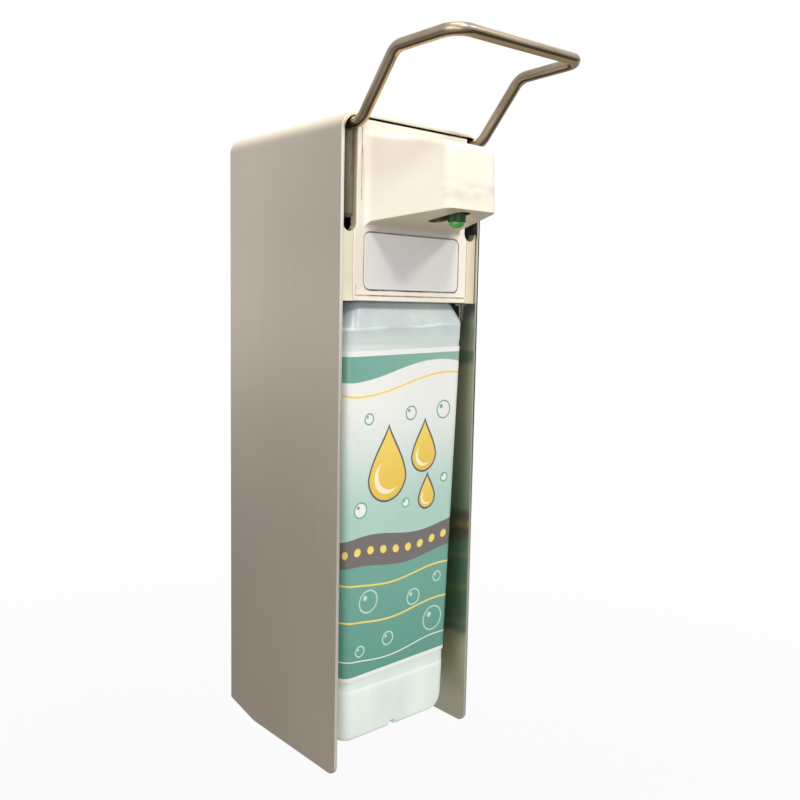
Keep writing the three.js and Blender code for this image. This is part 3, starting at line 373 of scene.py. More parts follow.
def brushedCasing():
    casing = {"top": (174, 165, 155), "topRear": (188, 178, 167), "middle": (214, 202, 187), "low": (198, 186, 170),
        "dark": (160, 149, 135), "bend": (255, 240, 214), "inside": (190, 193, 174), "insideLow": (200, 194, 172),
        "edge": (216, 210, 196), "edgeLow": (236, 229, 215), "edgeTip": (232, 227, 216), "edgeTop": (244, 237, 214),
        "edgeRight": (176, 172, 162), "edgeRightLow": (216, 209, 196), "edgeRightTip": (212, 208, 198),
        "rim": (150, 141, 124), "rimRight": (26, 24, 22)} | inMm({
        "lowFade": (-200, -20), "topFade": (-20, 140), "rearFade": (-130, -30), "insideFade": (-190, -60),
        "bendRise": (198, 207), "bendSide": (44, 52), "bendX": 48, "bendZ": 197, "halfSheet": 10.9, "blur": 0.1,
        "cut": (-129.8, -129.3), "edgeFade": (-160, 140), "edgeTipFade": (75, 105), "edgeRightFade": (-60, 90),
        "edgeRightTipFade": (75, 110), "across": (-50, 50), "edgeTopFade": (196, 204), "rimFade": (208.7, 208.9),
        "lineFade": (58.6, 58.9), "lineFoot": (-60, 30)})
    steel = Finish("satin_casing_steel", casing, Metallic=1.0, Anisotropic=0.3)
    streaks = steel.noise(150, (4, 4, 0.05), 4)
    x, y, z = steel.axes()
    # Painted reflection: the sheet is lightest in the middle, a little darker low down and darker towards the top,
    # less so at the rear
    steel.tone = steel.mix(z.ramp(*casing["lowFade"]), "low", "middle")
    steel.paint(z.ramp(*casing["topFade"]), steel.mix(y.ramp(*casing["rearFade"]), "top", "topRear"))
    steel.paint(streaks.ramp(0.35, 0.7, 0, 0.07), "dark")
    steel.paint(steel.noise(5, (1.4, 1.4, 0.5), 2).ramp(0.4, 0.7, 0, 0.25), "dark")
    # Painted highlight where the sheet bends over at the top
    steel.paint(z.ease(*casing["bendRise"], 0, 0.9) * abs(x).ease(*casing["bendSide"]), "bend")
    # The inner faces below the bend get a painted greenish reflection of the bottle and painted shade, a little
    # lighter low down
    beyondX = largest(abs(x) - casing["bendX"], 0)
    beyondZ = largest(z - casing["bendZ"], 0)
    reach = calc("SQRT", beyondX * beyondX + beyondZ * beyondZ)
    inside = reach.fade(casing["halfSheet"] - casing["blur"], casing["halfSheet"] + casing["blur"])
    steel.paint(inside, steel.mix(z.fade(*casing["insideFade"]), "inside", "insideLow"))
    # Painted highlight on the sheet's front edge, paler at the top and duller on the right, with painted dark shade
    # lines along its top rim and its right rim
    left, right = (steel.mix(z.ramp(*casing[name + "TipFade"]), steel.mix(
        z.ramp(*casing[name + "Fade"]), name + "Low", name), name + "Tip") for name in ("edge", "edgeRight"))
    edge = steel.mix(x.ramp(*casing["across"]), left, right)
    edge = steel.mix(z.ramp(*casing["edgeTopFade"]), edge, "edgeTop")
    edge = steel.mix(z.ramp(*casing["rimFade"]), edge, "rim")
    edge = steel.mix(x.ramp(*casing["lineFade"]) * z.ramp(*casing["lineFoot"], 0.3, 1), edge, "rimRight")
    steel.paint(y.fade(*casing["cut"]), edge)
    return steel.close(streaks.ramp(0.3, 0.7, 0.38, 0.43) - inside * 0.1, streaks, 0.03, 0.15 * mm)


def dullSteel():
    plate = {"light": (176, 174, 170), "dark": (138, 136, 132), "spangle": 90}
    steel = Finish("zinc_plate_steel", plate, Metallic=1.0)
    grain = steel.noise(220, detail=4)
    steel.tone = steel.mix(steel.cells(plate["spangle"]).ramp(0, 0.9), "light", "dark")
    steel.paint(grain.ramp(0.4, 0.75, 0, 0.4), "dark")
    return steel.close(grain.ramp(0.3, 0.7, 0.42, 0.58), grain, 0.06, 0.2 * mm)


def drawnRod():
    rod = {"light": (158, 143, 123), "dark": (124, 110, 91), "pale": (236, 227, 212), "line": (62, 52, 40),
           "gold": (206, 176, 128), "bar": (-214 * mm, -209 * mm), "barLeft": (-46 * mm, -34 * mm),
           "way": (0.6, 0, -0.8)}
    steel = Finish("drawn_lever_rod", rod, Metallic=1.0)
    stains = steel.noise(26, detail=4)
    steel.tone = steel.mix(stains.ease(0.35, 0.7, 0, 0.9), "light", "dark")
    turn = steel.field("ShaderNodeVectorMath", "Value", {0: steel.facing(), 1: rod["way"]}, operation="DOT_PRODUCT")
    x, y = steel.axes()[:2]
    # Painted highlight on top of the bar
    bar = y.fade(*rod["bar"]) * x.ramp(*rod["barLeft"], 0.15, 1)  # only the bar is bright on top
    steel.paint(bar * turn.ease(-0.25, -0.7, 0, 0.85), "pale")
    # Painted reflections by the way the surface faces: a dark line, a golden band and a dark line again
    for low, high, share, name in ((0, 0.3, 0.8, "line"), (0.42, 0.6, 0.85, "gold"), (0.86, 0.96, 0.8, "line")):
        steel.paint(turn.ease(low, high, 0, share), name)
    return steel.close(stains.ramp(0.3, 0.7, 0.3, 0.38), steel.noise(120), 0.02, 0.05 * mm)


def grained(name, look, **values):
    finish = Finish(name, look, **values)
    grain = finish.noise(look["grain"], detail=4)
    finish.tone = finish.mix(grain.ramp(0.35, 0.7, 0, look["share"]), "light", "dark")
    return finish.close(grain.ramp(0.3, 0.7, *look["rough"]), grain, look["relief"], 0.1 * mm)


def seamDirt(plastic, x, y, z):
    # Brown dirt in the seam round the grey plate, strongest below it, and in the cover's moulded lines
    seam = inMm({"half": 41.2, "rise": 18, "middle": 120.7, "round": 5, "width": (0.25, 0.6), "upper": (106, 102.6),
        "line": 99.4, "lineWidth": (0.3, 0.7), "lineEnd": (47.3, 47.6), "side": 43.6, "sideWidth": (0.3, 0.6),
        "sideMiddle": 179, "sideEnd": (21.6, 22.2), "front": (-127, -126)})
    across = abs(x) - (seam["half"] - seam["round"])
    up = abs(z - seam["middle"]) - (seam["rise"] - seam["round"])
    outX, outZ = (largest(value, 0) for value in (across, up))
    away = calc("SQRT", outX * outX + outZ * outZ) + smallest(largest(across, up), 0) - seam["round"]
    rim = abs(away).fade(*seam["width"]) * z.ramp(*seam["upper"], 0.45, 1)
    line = abs(z - seam["line"]).fade(*seam["lineWidth"], 0.6) * abs(x).fade(*seam["lineEnd"])
    side = abs(abs(x) - seam["side"]).fade(*seam["sideWidth"], 0.8)
    side = side * abs(z - seam["sideMiddle"]).fade(*seam["sideEnd"]) * plastic.noise(95).ramp(0.44, 0.58, 0.12, 1)
    patches = plastic.noise(130, detail=4).ramp(0.35, 0.62, 0.25, 1)
    return largest(largest(rim, line), side) * patches * y.fade(*seam["front"])


def hoodWearAndShade(plastic):  # painted shade on what faces down, in the nozzle slot and beneath the hood; the hood's left side greys towards its top; real smudges, dirt specks and seam dirt
    hoodMarks = inMm({"sideGreyRise": (168, 190), "smudgeAt": 162, "smudgeReach": (2, 9), "tip": (-179, -176),
        "mouthHalf": (6, 6.3), "mouthAt": -161, "mouthLength": (16.2, 16.6), "mouthTop": (158, 160),
        "hoodShadowHalf": (30, 40), "hoodShadowTop": (143, 147), "hoodShadowFoot": (138, 139), "hoodShadowRoot": (-134, -131)})
    turnX, turnZ = plastic.split(plastic.facing())[::2]
    x, y, z = plastic.axes()
    # The hood's left side greys towards its top
    plastic.paint(turnX.fade(-0.85, -0.6, 0.5) * z.ramp(*hoodMarks["sideGreyRise"]), "sideGrey")
    smudge = plastic.noise(55, (1, 1, 2.6)).ramp(0.42, 0.62, 0, 0.55)
    smudge = smudge * abs(z - hoodMarks["smudgeAt"]).fade(*hoodMarks["smudgeReach"])
    plastic.paint(smudge * y.fade(*hoodMarks["tip"]), "smudge")
    plastic.paint(plastic.cells(62).fade(0.02, 0.045, 0.6), "grimeAndShade")
    # Painted shade on what faces down
    plastic.paint(turnZ.fade(-0.75, -0.35), "under")
    # Painted shade on the walls of the nozzle slot
    mouth = abs(x).fade(*hoodMarks["mouthHalf"]) * abs(y - hoodMarks["mouthAt"]).fade(*hoodMarks["mouthLength"])
    mouth = mouth * z.fade(*hoodMarks["mouthTop"]) * abs(turnZ).fade(0.3, 0.6)
    plastic.paint(mouth, "mouth")
    # Painted shadow of the hood on the cover beneath it
    hoodShadow = abs(x).fade(*hoodMarks["hoodShadowHalf"], 0.75) * z.fade(*hoodMarks["hoodShadowTop"]) * z.ramp(*hoodMarks["hoodShadowFoot"])
    plastic.paint(hoodShadow * y.ramp(*hoodMarks["hoodShadowRoot"]), "hoodShadow")
    plastic.paint(seamDirt(plastic, x, y, z), "grimeAndShade")


def dullRightWing(plastic):  # the right wing is duller
    # Darker towards the right wing's outer side
    plastic.paint(plastic.axes()[0].ramp(*plastic.settings["rightDullFade"], 0, 0.75), "rightDull")


def webShade(plastic):  # painted shade: the webs are darker towards the casing
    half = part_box("rocker")[1].x
    plastic.paint(abs(plastic.axes()[0]).ramp(*(half - gap for gap in plastic.settings["outerGaps"])), "outer")


def slotShade(plastic):  # painted shade on the walls of the slots beside the cover, darker towards the top
    slots = inMm({"sideFade": 0.6, "frontFade": 1.2, "foot": (134, 138), "rear": (-112, -84), "rise": (140, 205)})
    x, y, z = plastic.axes()
    side, front = plastic.settings["deepFrom"], plastic.settings["deepFront"]
    behind = abs(x).ramp(side, side + slots["sideFade"]) * y.ramp(front, front + slots["frontFade"])
    behind = behind * z.ramp(*slots["foot"]) * y.ease(*slots["rear"], 1, 0)
    plastic.paint(behind, plastic.mix(z.ramp(*slots["rise"]), "deep", "deepTop"))


def mouldedPlastic(name, settings, *wearAndShade):
    shine = settings["shine"]
    plastic = Finish(name, settings, Subsurface_Weight=settings.get("glow", 0.06), Subsurface_Scale=1.5 * mm,
                     Subsurface_Radius=(0.9, 0.7, 0.45), Specular_IOR_Level=settings.get("gloss", 0.5))
    flow = plastic.noise(settings.get("flow", 22)).ramp(0.35, 0.7, 0, 0.5)
    plastic.tone = plastic.mix(flow, "light", "dark")
    # Painted shade with patchy dirt in crevices, from an ambient occlusion mask
    if "grimeAndShade" in settings:
        patches = plastic.noise(60, detail=4).ramp(0.35, 0.65, 0.25, 1)
        amount = plastic.crevices(settings["creviceReach"], 1.6) * patches * settings["creviceShare"]
        plastic.paint(amount, "grimeAndShade")
    for addMarks in wearAndShade:
        addMarks(plastic)
    gloss = plastic.noise(90, detail=4).ramp(0.3, 0.7, shine - 0.05, shine + 0.08)
    return plastic.close(gloss, plastic.noise(700, detail=2), settings.get("orange", 0.04), 0.12 * mm)


def milkyBottle():
    milk = {"low": (236, 248, 240), "high": (176, 187, 193), "cloud": (212, 224, 220), "crease": (226, 246, 236),
        "shade": (214, 230, 220), "bright": (252, 255, 253), "fall": 4 / 104} | inMm({
        "topShadeRise": (55, 85), "line": 80.2, "waver": 0.6, "lineWidth": (0.5, 1.4), "glintAt": -12, "glintReach": 30,
        "ridge": -161.4, "ridgeWidth": (0.2, 1.7), "ridgeFade": 0.6, "filmFoot": -152, "filmFade": 1})
    wall = Finish("milky_bottle", milk, Subsurface_Weight=0.45, Subsurface_Radius=(0.8, 1.0, 0.9),
                  Subsurface_Scale=6 * mm, IOR=1.5, Coat_Weight=0.15, Coat_Roughness=0.2)
    x, z = wall.axes()[::2]
    # Painted shade: the bottle greys towards its top, under the insert
    wall.tone = wall.mix(z.ease(*milk["topShadeRise"]), "low", "high")
    wall.paint(wall.noise(30, (1, 1, 0.4)).ramp(0.4, 0.7, 0, 0.6), "cloud")
    # Painted highlight along the shoulder's crease, wavy and broken into glints
    waver = wall.noise(40).ramp(0.3, 0.7, -milk["waver"], milk["waver"])
    crease = abs(z + waver - (x * milk["fall"] + milk["line"]))
    glints = wall.noise(75).ramp(0.4, 0.6, 0.3, 0.75) * abs(x - milk["glintAt"]).ramp(0, milk["glintReach"], 0.45, 1)
    wall.paint(crease.ease(*milk["lineWidth"], 1, 0) * glints, "crease")
    ridge, filmFoot = milk["ridge"], milk["filmFoot"]
    shade = z.ramp(ridge, filmFoot, 0.1, 0.75) * z.ramp(ridge, ridge + milk["ridgeFade"])
    wall.paint(shade * z.fade(filmFoot, filmFoot + milk["filmFade"]), "shade")
    # Painted highlight along the ridge
    wall.paint(abs(z - ridge).ease(*milk["ridgeWidth"], 0.5, 0), "bright")
    wax = wall.noise(260, detail=4)
    return wall.close(wax.ramp(0.3, 0.7, 0.32, 0.44), wax, 0.05, 0.2 * mm)


def printedLabel(height, whiteFoot):
    # A made-up print: waves, soap drops and bubbles in the film's colours
    ink = {"white": (242, 243, 240), "mint": (176, 212, 200), "teal": (112, 170, 155), "deepTeal": (92, 156, 140),
        "headerEnd": (146, 186, 172), "pale": (196, 224, 214), "grey": (116, 111, 110), "grain": (60, 60, 60),
        "yellow": (250, 222, 112), "amber": (236, 196, 84), "glint": (252, 244, 206), "line": (96, 92, 92)} | inMm({
        "outline": 1.3, "fieldTop": 150, "fieldFoot": 215, "pearl": 11, "half": 50})
    drops = [  # across, down to the middle of the round part, radius, height of the tip above it
        (-15, 84, 15.5, 34), (17, 73, 10.5, 24), (21, 103, 7, 16)]
    bubbles = [  # across, down, radius
        (4, 43, 5), (-32, 44, 4), (34, 43, 6.5), (2, 104, 3.5), (-37, 103, 5.5), (37, 91, 3.5),
        (-28, 166, 8), (-10, 196, 5), (12, 172, 6), (31, 192, 9), (-34, 199, 4), (34, 162, 4)]
    film = Finish("printed_label_film", ink, Coat_Weight=0.25, Coat_Roughness=0.18)
    across, up = film.axes("UV")[:2]
    down = height - up  # below the film's upper edge

    def where(value):  # 1 where the value is above zero
        return value.ramp(-0.15 * mm, 0.15 * mm)

    def wave(place, rise, length, shift):
        return calc("SINE", across * (math.tau / length) + shift) * rise + place

    def below(edge):
        return where(down - edge)

    def between(upper, lower):
        return below(upper) * (1 - below(lower))

    def disc(sideways, place, radius):
        gapAcross, gapDown = across - sideways, down - place
        return where(radius - calc("SQRT", gapAcross * gapAcross + gapDown * gapDown))

    def drop(sideways, place, radius, tip):
        rise = place - down
        under = smallest(rise, 0)
        width = calc("SQRT", largest(radius ** 2 - under * under, 0))
        share = smallest(largest(rise / tip, 0), 1)
        taper = calc("POWER", 1 - share, 1.45) * (share * 1.1 + 1)
        return where(width * taper - (abs(across - sideways) + 0.15 * mm))

    film.tone = film.mix(down.ease(30 * mm, 118 * mm), "white", "mint")
    header = between(3.4 * mm, wave(14 * mm, 6 * mm, 150 * mm, 3.6))
    film.paint(header, film.mix(across.ramp(-ink["half"], ink["half"]), "teal", "headerEnd"))
    thread = wave(22.5 * mm, 6 * mm, 150 * mm, 3.2)
    film.paint(between(thread, thread + 1.4 * mm), "yellow")
    bandTop = wave(123 * mm, 2.4 * mm, 86 * mm, 0.6)
    bandFoot = wave(143 * mm, 2.4 * mm, 86 * mm, 1.4)
    field = film.mix(down.ramp(ink["fieldTop"], ink["fieldFoot"]), "teal", "deepTeal")
    film.paint(below(bandFoot), field)
    for bubble in bubbles:
        sideways, place, radius = (value * mm for value in bubble)
        low = place > ink["fieldTop"]
        tint = "pale" if low else "teal"
        film.paint(disc(sideways, place, radius), tint)
        film.paint(disc(sideways, place, radius - 1 * mm), field if low else "white")
        film.paint(disc(sideways - radius * 0.35, place - radius * 0.35, radius * 0.22), tint)
    film.paint(between(bandTop, bandFoot), "grey")
    pearl = calc("FRACT", across / ink["pearl"]) - 0.5
    pearlDown = (down - (bandTop + bandFoot) * 0.5) / ink["pearl"]
    pearlReach = calc("SQRT", pearl * pearl + pearlDown * pearlDown)
    film.paint((0.25 - pearlReach).ramp(-0.015, 0.015), "yellow")
    for place, width, name in ((154, 1.2, "yellow"), (179, 1.2, "yellow"), (206, 0.8, "white")):
        thread = wave(place * mm, 2.2 * mm, 86 * mm, 2.2)
        film.paint(between(thread, thread + width * mm), name)
    rim = ink["outline"]
    for shape in drops:
        sideways, place, radius, tip = (value * mm for value in shape)
        film.paint(drop(sideways, place, radius + rim, tip + rim * 2.2), "line")
        inner = film.mix(down.ramp(place - tip, place + radius), "yellow", "amber")
        film.paint(drop(sideways, place, radius, tip), inner)
        shadow = disc(sideways + radius * 0.2, place - radius * 0.16, radius * 0.72)
        film.paint(disc(sideways, place, radius * 0.72) * (1 - shadow), "glint")
    film.paint(below(height - whiteFoot), "white")
    film.paint(film.noise(900, detail=2).ramp(0.3, 0.7, 0, 0.05), "grain")
    return film.close(film.noise(40).ramp(0.3, 0.7, 0.26, 0.4), film.noise(18, (1, 1, 0.5), 2), 0.1, 0.6 * mm)


finishes = {  # material and slot
    "casing": (brushedCasing(), "casing_steel"),
    "plate": (dullSteel(), "plate_steel"),
    "rod": (drawnRod(), "rod_steel"),
    "fastener": (grained("plain_fastener_steel", {
        "light": (150, 148, 144), "dark": (96, 93, 88), "grain": 600, "share": 0.7, "rough": (0.28, 0.45),
        "relief": 0.05}, Metallic=1.0), "dark_steel"),
    "ivory": (mouldedPlastic("ivory_cover_plastic", {
        "light": (249, 241, 228), "dark": (243, 232, 215), "shine": 0.34,
        # Among these, painted shade: what faces down, the nozzle slot, beneath the hood and the slot walls
        "under": (205, 191, 163), "sideGrey": (226, 213, 202), "smudge": (206, 196, 188), "mouth": (104, 84, 64),
        "hoodShadow": (178, 174, 168),
        "deep": (198, 190, 162), "deepTop": (170, 156, 138), "deepFrom": 45.9 * mm, "deepFront": -128.2 * mm,
        "grimeAndShade": (92, 72, 46), "creviceReach": 1.6 * mm, "creviceShare": 0.8}, hoodWearAndShade, slotShade), "ivory"),
    "wing": (mouldedPlastic("yellowed_carrier_plastic", {
        "light": (240, 232, 208), "dark": (232, 222, 194), "shine": 0.4, "rightDull": (202, 191, 162),
        "rightDullFade": (46 * mm, 57 * mm),
        # The deep colours are painted shade in the slots
        "deep": (128, 122, 96), "deepTop": (84, 78, 66), "deepFrom": 46 * mm, "deepFront": -127.8 * mm,
        "grimeAndShade": (88, 70, 44), "creviceReach": 2.5 * mm, "creviceShare": 0.8}, dullRightWing, slotShade), "yellow_ivory"),
    "grey": (mouldedPlastic("grey_plate_plastic", {
        "light": (236, 234, 232), "dark": (230, 227, 223), "shine": 0.36, "orange": 0.06,
        "grimeAndShade": (84, 66, 44), "creviceReach": 0.9 * mm, "creviceShare": 0.7}), "grey_plastic"),
    "web": (mouldedPlastic("grey_rocker_plastic", {
        # The outer colour is painted shade near the casing
        "light": (140, 128, 108), "dark": (116, 105, 88), "shine": 0.42, "outer": (56, 50, 40),
        "outerGaps": (6 * mm, 1 * mm),
        "grimeAndShade": (44, 36, 26), "creviceReach": 5 * mm, "creviceShare": 0.9}, webShade), "grey_plastic"),
    "white": (mouldedPlastic("white_pump_plastic", {
        "light": (240, 240, 236), "dark": (230, 230, 224), "shine": 0.3}), "white_plastic"),
    "black": (mouldedPlastic("dark_nozzle_plastic", {
        "light": (40, 84, 56), "dark": (16, 42, 30), "shine": 0.26, "glow": 0, "gloss": 0.2}), "black_green"),
    "green": (mouldedPlastic("green_nozzle_plastic", {
        "light": (78, 172, 68), "dark": (40, 122, 38), "flow": 160, "shine": 0.22, "glow": 0.1}), "green"),
    "milky": (milkyBottle(), "milky_plastic"),
    "rubber": (grained("black_rubber", {
        "light": (46, 46, 48), "dark": (70, 69, 68), "grain": 800, "share": 1, "rough": (0.68, 0.86),
        "relief": 0.15}), "rubber"),
}
print("finishes ready:", len(finishes))


# Casing

def bendCasing():
    sheet = {"bendSteps": 14, "toeSteps": 8} | inMm({
        "wall": 2.2, "bend": 12, "heelDepth": 32, "heelRise": 6.5, "toe": 7, "edge": 0.35})
    low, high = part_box("casing_shell")
    piece = addBox("casing", low, high)
    openEdit(piece)
    choose(piece, "faces", lambda face: abs(face.normal.y) > 0.9 or face.normal.z < -0.9)
    bpy.ops.mesh.delete(type="FACE")
    bevelWhere(piece, lambda edge: runsAlong(edge, 1) and liesAt(edge, 2, high.z), sheet["bend"], sheet["bendSteps"])
    openEdit(piece)  # the lower rear corners are cut off at a slant
    slant = Vector((0, -sheet["heelRise"], sheet["heelDepth"])).normalized()
    cutPlane((0, -sheet["heelDepth"], low.z), slant, clear_inner=True)
    openEdit(piece, "VERT")
    choose(piece, "verts", lambda vert: near(vert.co.y, low.y) and near(vert.co.z, low.z))
    bpy.ops.mesh.bevel(offset=sheet["toe"], segments=sheet["toeSteps"], affect="VERTICES")
    applyModifier(piece, "SOLIDIFY", thickness=sheet["wall"], offset=-1, use_even_offset=True)
    cleanUp(piece)
    roundEdges(piece, sheet["edge"], angle=50)
    dress(piece, "casing", "casing", "casing_shell", 30, True)


bendCasing()
print("casing bent")


# Pieces that keep their shape and get softened edges

def soften(node, finish, width):
    piece = bpy.data.objects.new(node + "_finished", frame["nodes"][node].data.copy())
    scene.collection.objects.link(piece)
    openEdit(piece, "VERT")
    selectAll()
    bpy.ops.mesh.remove_doubles(threshold=0.005 * mm)
    bpy.ops.mesh.dissolve_limited(angle_limit=math.radians(1))
    closeEdit()
    if width:
        roundEdges(piece, width)
    dress(piece, finish, frame["nodes"][node]["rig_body"], node, 30 if width else 50, width > 0)


softened = [  # finish, width of the softened edge in mm, nodes
    ("plate", 0.3, ("back_plate", "bottle_shelf")),
    ("plate", 0.2, ("runner_rail_left", "runner_rail_right")),
    ("fastener", 0.3, ("shelf_rivet_left", "shelf_rivet_right")),
    ("wing", 0.5, ("carrier",)),
    ("fastener", 0.2, ("cover_screw_left", "cover_screw_right", "lever_axle")),
    ("fastener", 0.15, ("axle_clip_left", "axle_clip_right")),
    ("web", 0.4, ("rocker",)),
    ("fastener", 0.2, ("rod_pin_left_front", "rod_pin_left_rear", "rod_pin_right_front", "rod_pin_right_rear")),
    ("rubber", 0.3, ("presser_pad",)),
    ("white", 0.4, ("pump_collar",)),
    ("rubber", 0.2, ("neck_gasket",)),
    ("white", 0.3, ("pump_cylinder",)),
    ("white", 0.2, ("dip_tube",)),
    ("fastener", 0, ("inlet_ball", "outlet_ball")),
    ("white", 0.2, ("piston_stem",)),
    ("rubber", 0.2, ("piston_seal",)),
    ("white", 0.4, ("pump_head",)),
    ("rod", 0, ("spout_tube",)),
]
for finish, width, nodes in softened:
    for node in nodes:
        soften(node, finish, width * mm)
print("softened pieces:", sum(len(nodes) for finish, width, nodes in softened))


# Return spring

def windSpring():
    coil = {"wire": 0.7 * mm, "turns": 6, "steps": 24, "sides": 8, "stroke": 11.6 * mm}
    low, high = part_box("return_spring")
    core = (low + high) / 2
    wire = coil["wire"]
    height = high.z - low.z
    piece = addRing("return_spring_wound", ((high.x - low.x) / 2 - wire, 0, 0), wire, coil["sides"])
    applyModifier(piece, "SCREW", axis="Z", angle=math.tau, iterations=coil["turns"], steps=coil["steps"],
                  screw_offset=(height - 2 * wire) / coil["turns"])
    piece.location = (core.x, core.y, low.z + wire)
    bpy.ops.object.transform_apply(location=True, rotation=True, scale=True)
    capEnds(piece, lambda edge: middle(edge).z > core.z)
    dress(piece, "fastener", "pump_plunger", "return_spring", 50)
    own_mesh(piece)


windSpring()
print("spring wound")


# Lever rod

def bendRod():
    rod = {"sides": 32, "steps": 12,
        "drift": {2: (0, -1.2, -1.6), 3: (-0.8, 0, -1.3), 4: (0.4, 0, 1.5), 5: (0, 0, 0.5)}} | inMm({
        "radius": 3.5, "half": 51, "armHalf": 53.1, "barHalf": 51.8, "level": 202, "rise": 37, "knee": -136.8,
        "run": 31.3, "arm": 49.2, "bend": 12, "corner": 11, "tail": -31, "endRound": 0.6})
    upper = rod["level"] + rod["rise"]
    elbow = rod["knee"] - rod["run"]
    corners = [Vector((-rod["half"], rod["tail"], rod["level"])),
               Vector((-rod["half"], rod["knee"], rod["level"])),
               Vector((-rod["armHalf"], elbow, upper)),
               Vector((-rod["barHalf"], elbow - rod["arm"], upper))]
    corners += [Vector((-point.x, point.y, point.z)) for point in reversed(corners)]
    for at, drift in rod["drift"].items():  # the loop is a little twisted, lower on its left
        corners[at] += Vector(drift) * mm
    bends = [rod["bend"], rod["bend"], rod["corner"], rod["corner"], rod["bend"], rod["bend"]]
    piece = addRing("lever_rod_bent", corners[0], rod["radius"], rod["sides"])
    openEdit(piece, "EDGE")
    selectAll()
    here = corners[0]
    for index, bend in enumerate(bends):
        corner = corners[index + 1]
        before = (corners[index] - corner).normalized()
        after = (corners[index + 2] - corner).normalized()
        turn = math.pi - before.angle(after)
        setback = bend * math.tan(turn / 2)
        centre = corner + (before + after).normalized() * (bend / math.cos(turn / 2))
        extrude(corner + before * setback - here)
        bpy.ops.mesh.spin(steps=rod["steps"], dupli=False, angle=turn, center=centre,
                          axis=before.cross(after).normalized())
        here = corner + after * setback
    extrude(corners[-1] - here)
    closeEdit()
    capEnds(piece, lambda edge: edge.verts[0].co.x > 0)
    roundEdges(piece, rod["endRound"], 3, 60)
    dress(piece, "rod", "lever", "lever_rod", 40)


bendRod()
print("rod bent")


# Front cover with its hood

hood = {"flareSteps": 6, "tipSteps": 8, "roundSteps": 8} | inMm({
    "front": -128.8, "reach": 53.9, "lean": 1.8, "rootHalf": 40.5, "tipHalf": 19.5, "rootTop": 198, "tipTop": 190,
    "rootFoot": 144, "tipFoot": 151, "topRound": 2.8, "footRound": 0.8, "tipRound": 7, "flare": 2.4, "footFlare": 5,
    "wall": 2.4})


def growHood(piece, stations):
    # Each station: place along y, left and right edge, foot and top, then the tilt
    def pick(members):
        mesh = bmesh.from_edit_mesh(piece.data)
        mesh.verts.ensure_lookup_table()
        for vert in mesh.verts:
            vert.select_set(False)
        for index in members:
            mesh.verts[index].select_set(True)
        mesh.select_flush_mode()
        bmesh.update_edit_mesh(piece.data)

    past = stations[0]
    for station in stations[1:]:
        extrude((0, station[0] - past[0], 0))
        mesh = bmesh.from_edit_mesh(piece.data)
        mesh.verts.index_update()
        ring = {vert.index: vert.co.copy() for vert in mesh.verts if vert.select}
        for way, first in ((0, 1), (2, 3)):
            centre = (past[first] + past[first + 1]) / 2
            for upper in (0, 1):
                change = station[first + upper] - past[first + upper]
                if abs(change) > 1e-7:
                    pick([index for index, co in ring.items() if (co[way] >= centre) == bool(upper)])
                    bpy.ops.transform.translate(value=(change, 0, 0) if way == 0 else (0, 0, change))
        pick(ring)
        bpy.ops.transform.rotate(value=station[5] - past[5], orient_axis="X",
                                 center_override=(0, station[0], station[3]))
        past = station


def hoodStation(y, grown=0.0, footGrown=0.0, tip=None, curve=0.0):
    # The sides and the top taper; near the tip they turn into the front in an arc of radius curve
    share = (hood["front"] - y) / hood["reach"]

    def edge(root, end):
        line = root + (end - root) * share + grown
        if tip is None:
            return line
        taper = math.atan((root - end) / hood["reach"])
        drop = tip + curve - y
        if drop <= curve * math.sin(taper):
            return line
        atTip = line - (y - tip) * math.tan(taper)
        return atTip + curve * (math.tan(taper) - 1 / math.cos(taper)) + math.sqrt(max(curve ** 2 - drop ** 2, 0))

    half = edge(hood["rootHalf"], hood["tipHalf"])
    top = edge(hood["rootTop"], hood["tipTop"])
    foot = hood["rootFoot"] + (hood["tipFoot"] - hood["rootFoot"]) * share - footGrown
    return (y, -half, half, foot, top, math.atan(hood["lean"] * share / (top - foot)))


def tipStations(tip, curve, inset=0.0):
    made = []
    for index in range(hood["tipSteps"] + 1):
        y = tip + curve * (1 - math.sin(index / hood["tipSteps"] * math.pi / 2))
        made.append(hoodStation(y, -inset, -inset, tip, curve))
    return made


def hoodSolid(name, stations, topRound, footRound):
    y, left, right, foot, top = stations[0][:5]
    centre = (foot + top) / 2
    piece = addUpright(name, (0, y, centre), right - left, top - foot)
    for upper, radius, steps in ((True, topRound, hood["roundSteps"]), (False, footRound, 4)):
        openEdit(piece, "VERT")
        choose(piece, "verts", lambda vert: (vert.co.z > centre) == upper)
        bpy.ops.mesh.bevel(offset=radius, segments=steps, affect="VERTICES")
        closeEdit()
    openEdit(piece)
    selectAll()
    growHood(piece, stations)
    cleanUp(piece)
    return piece


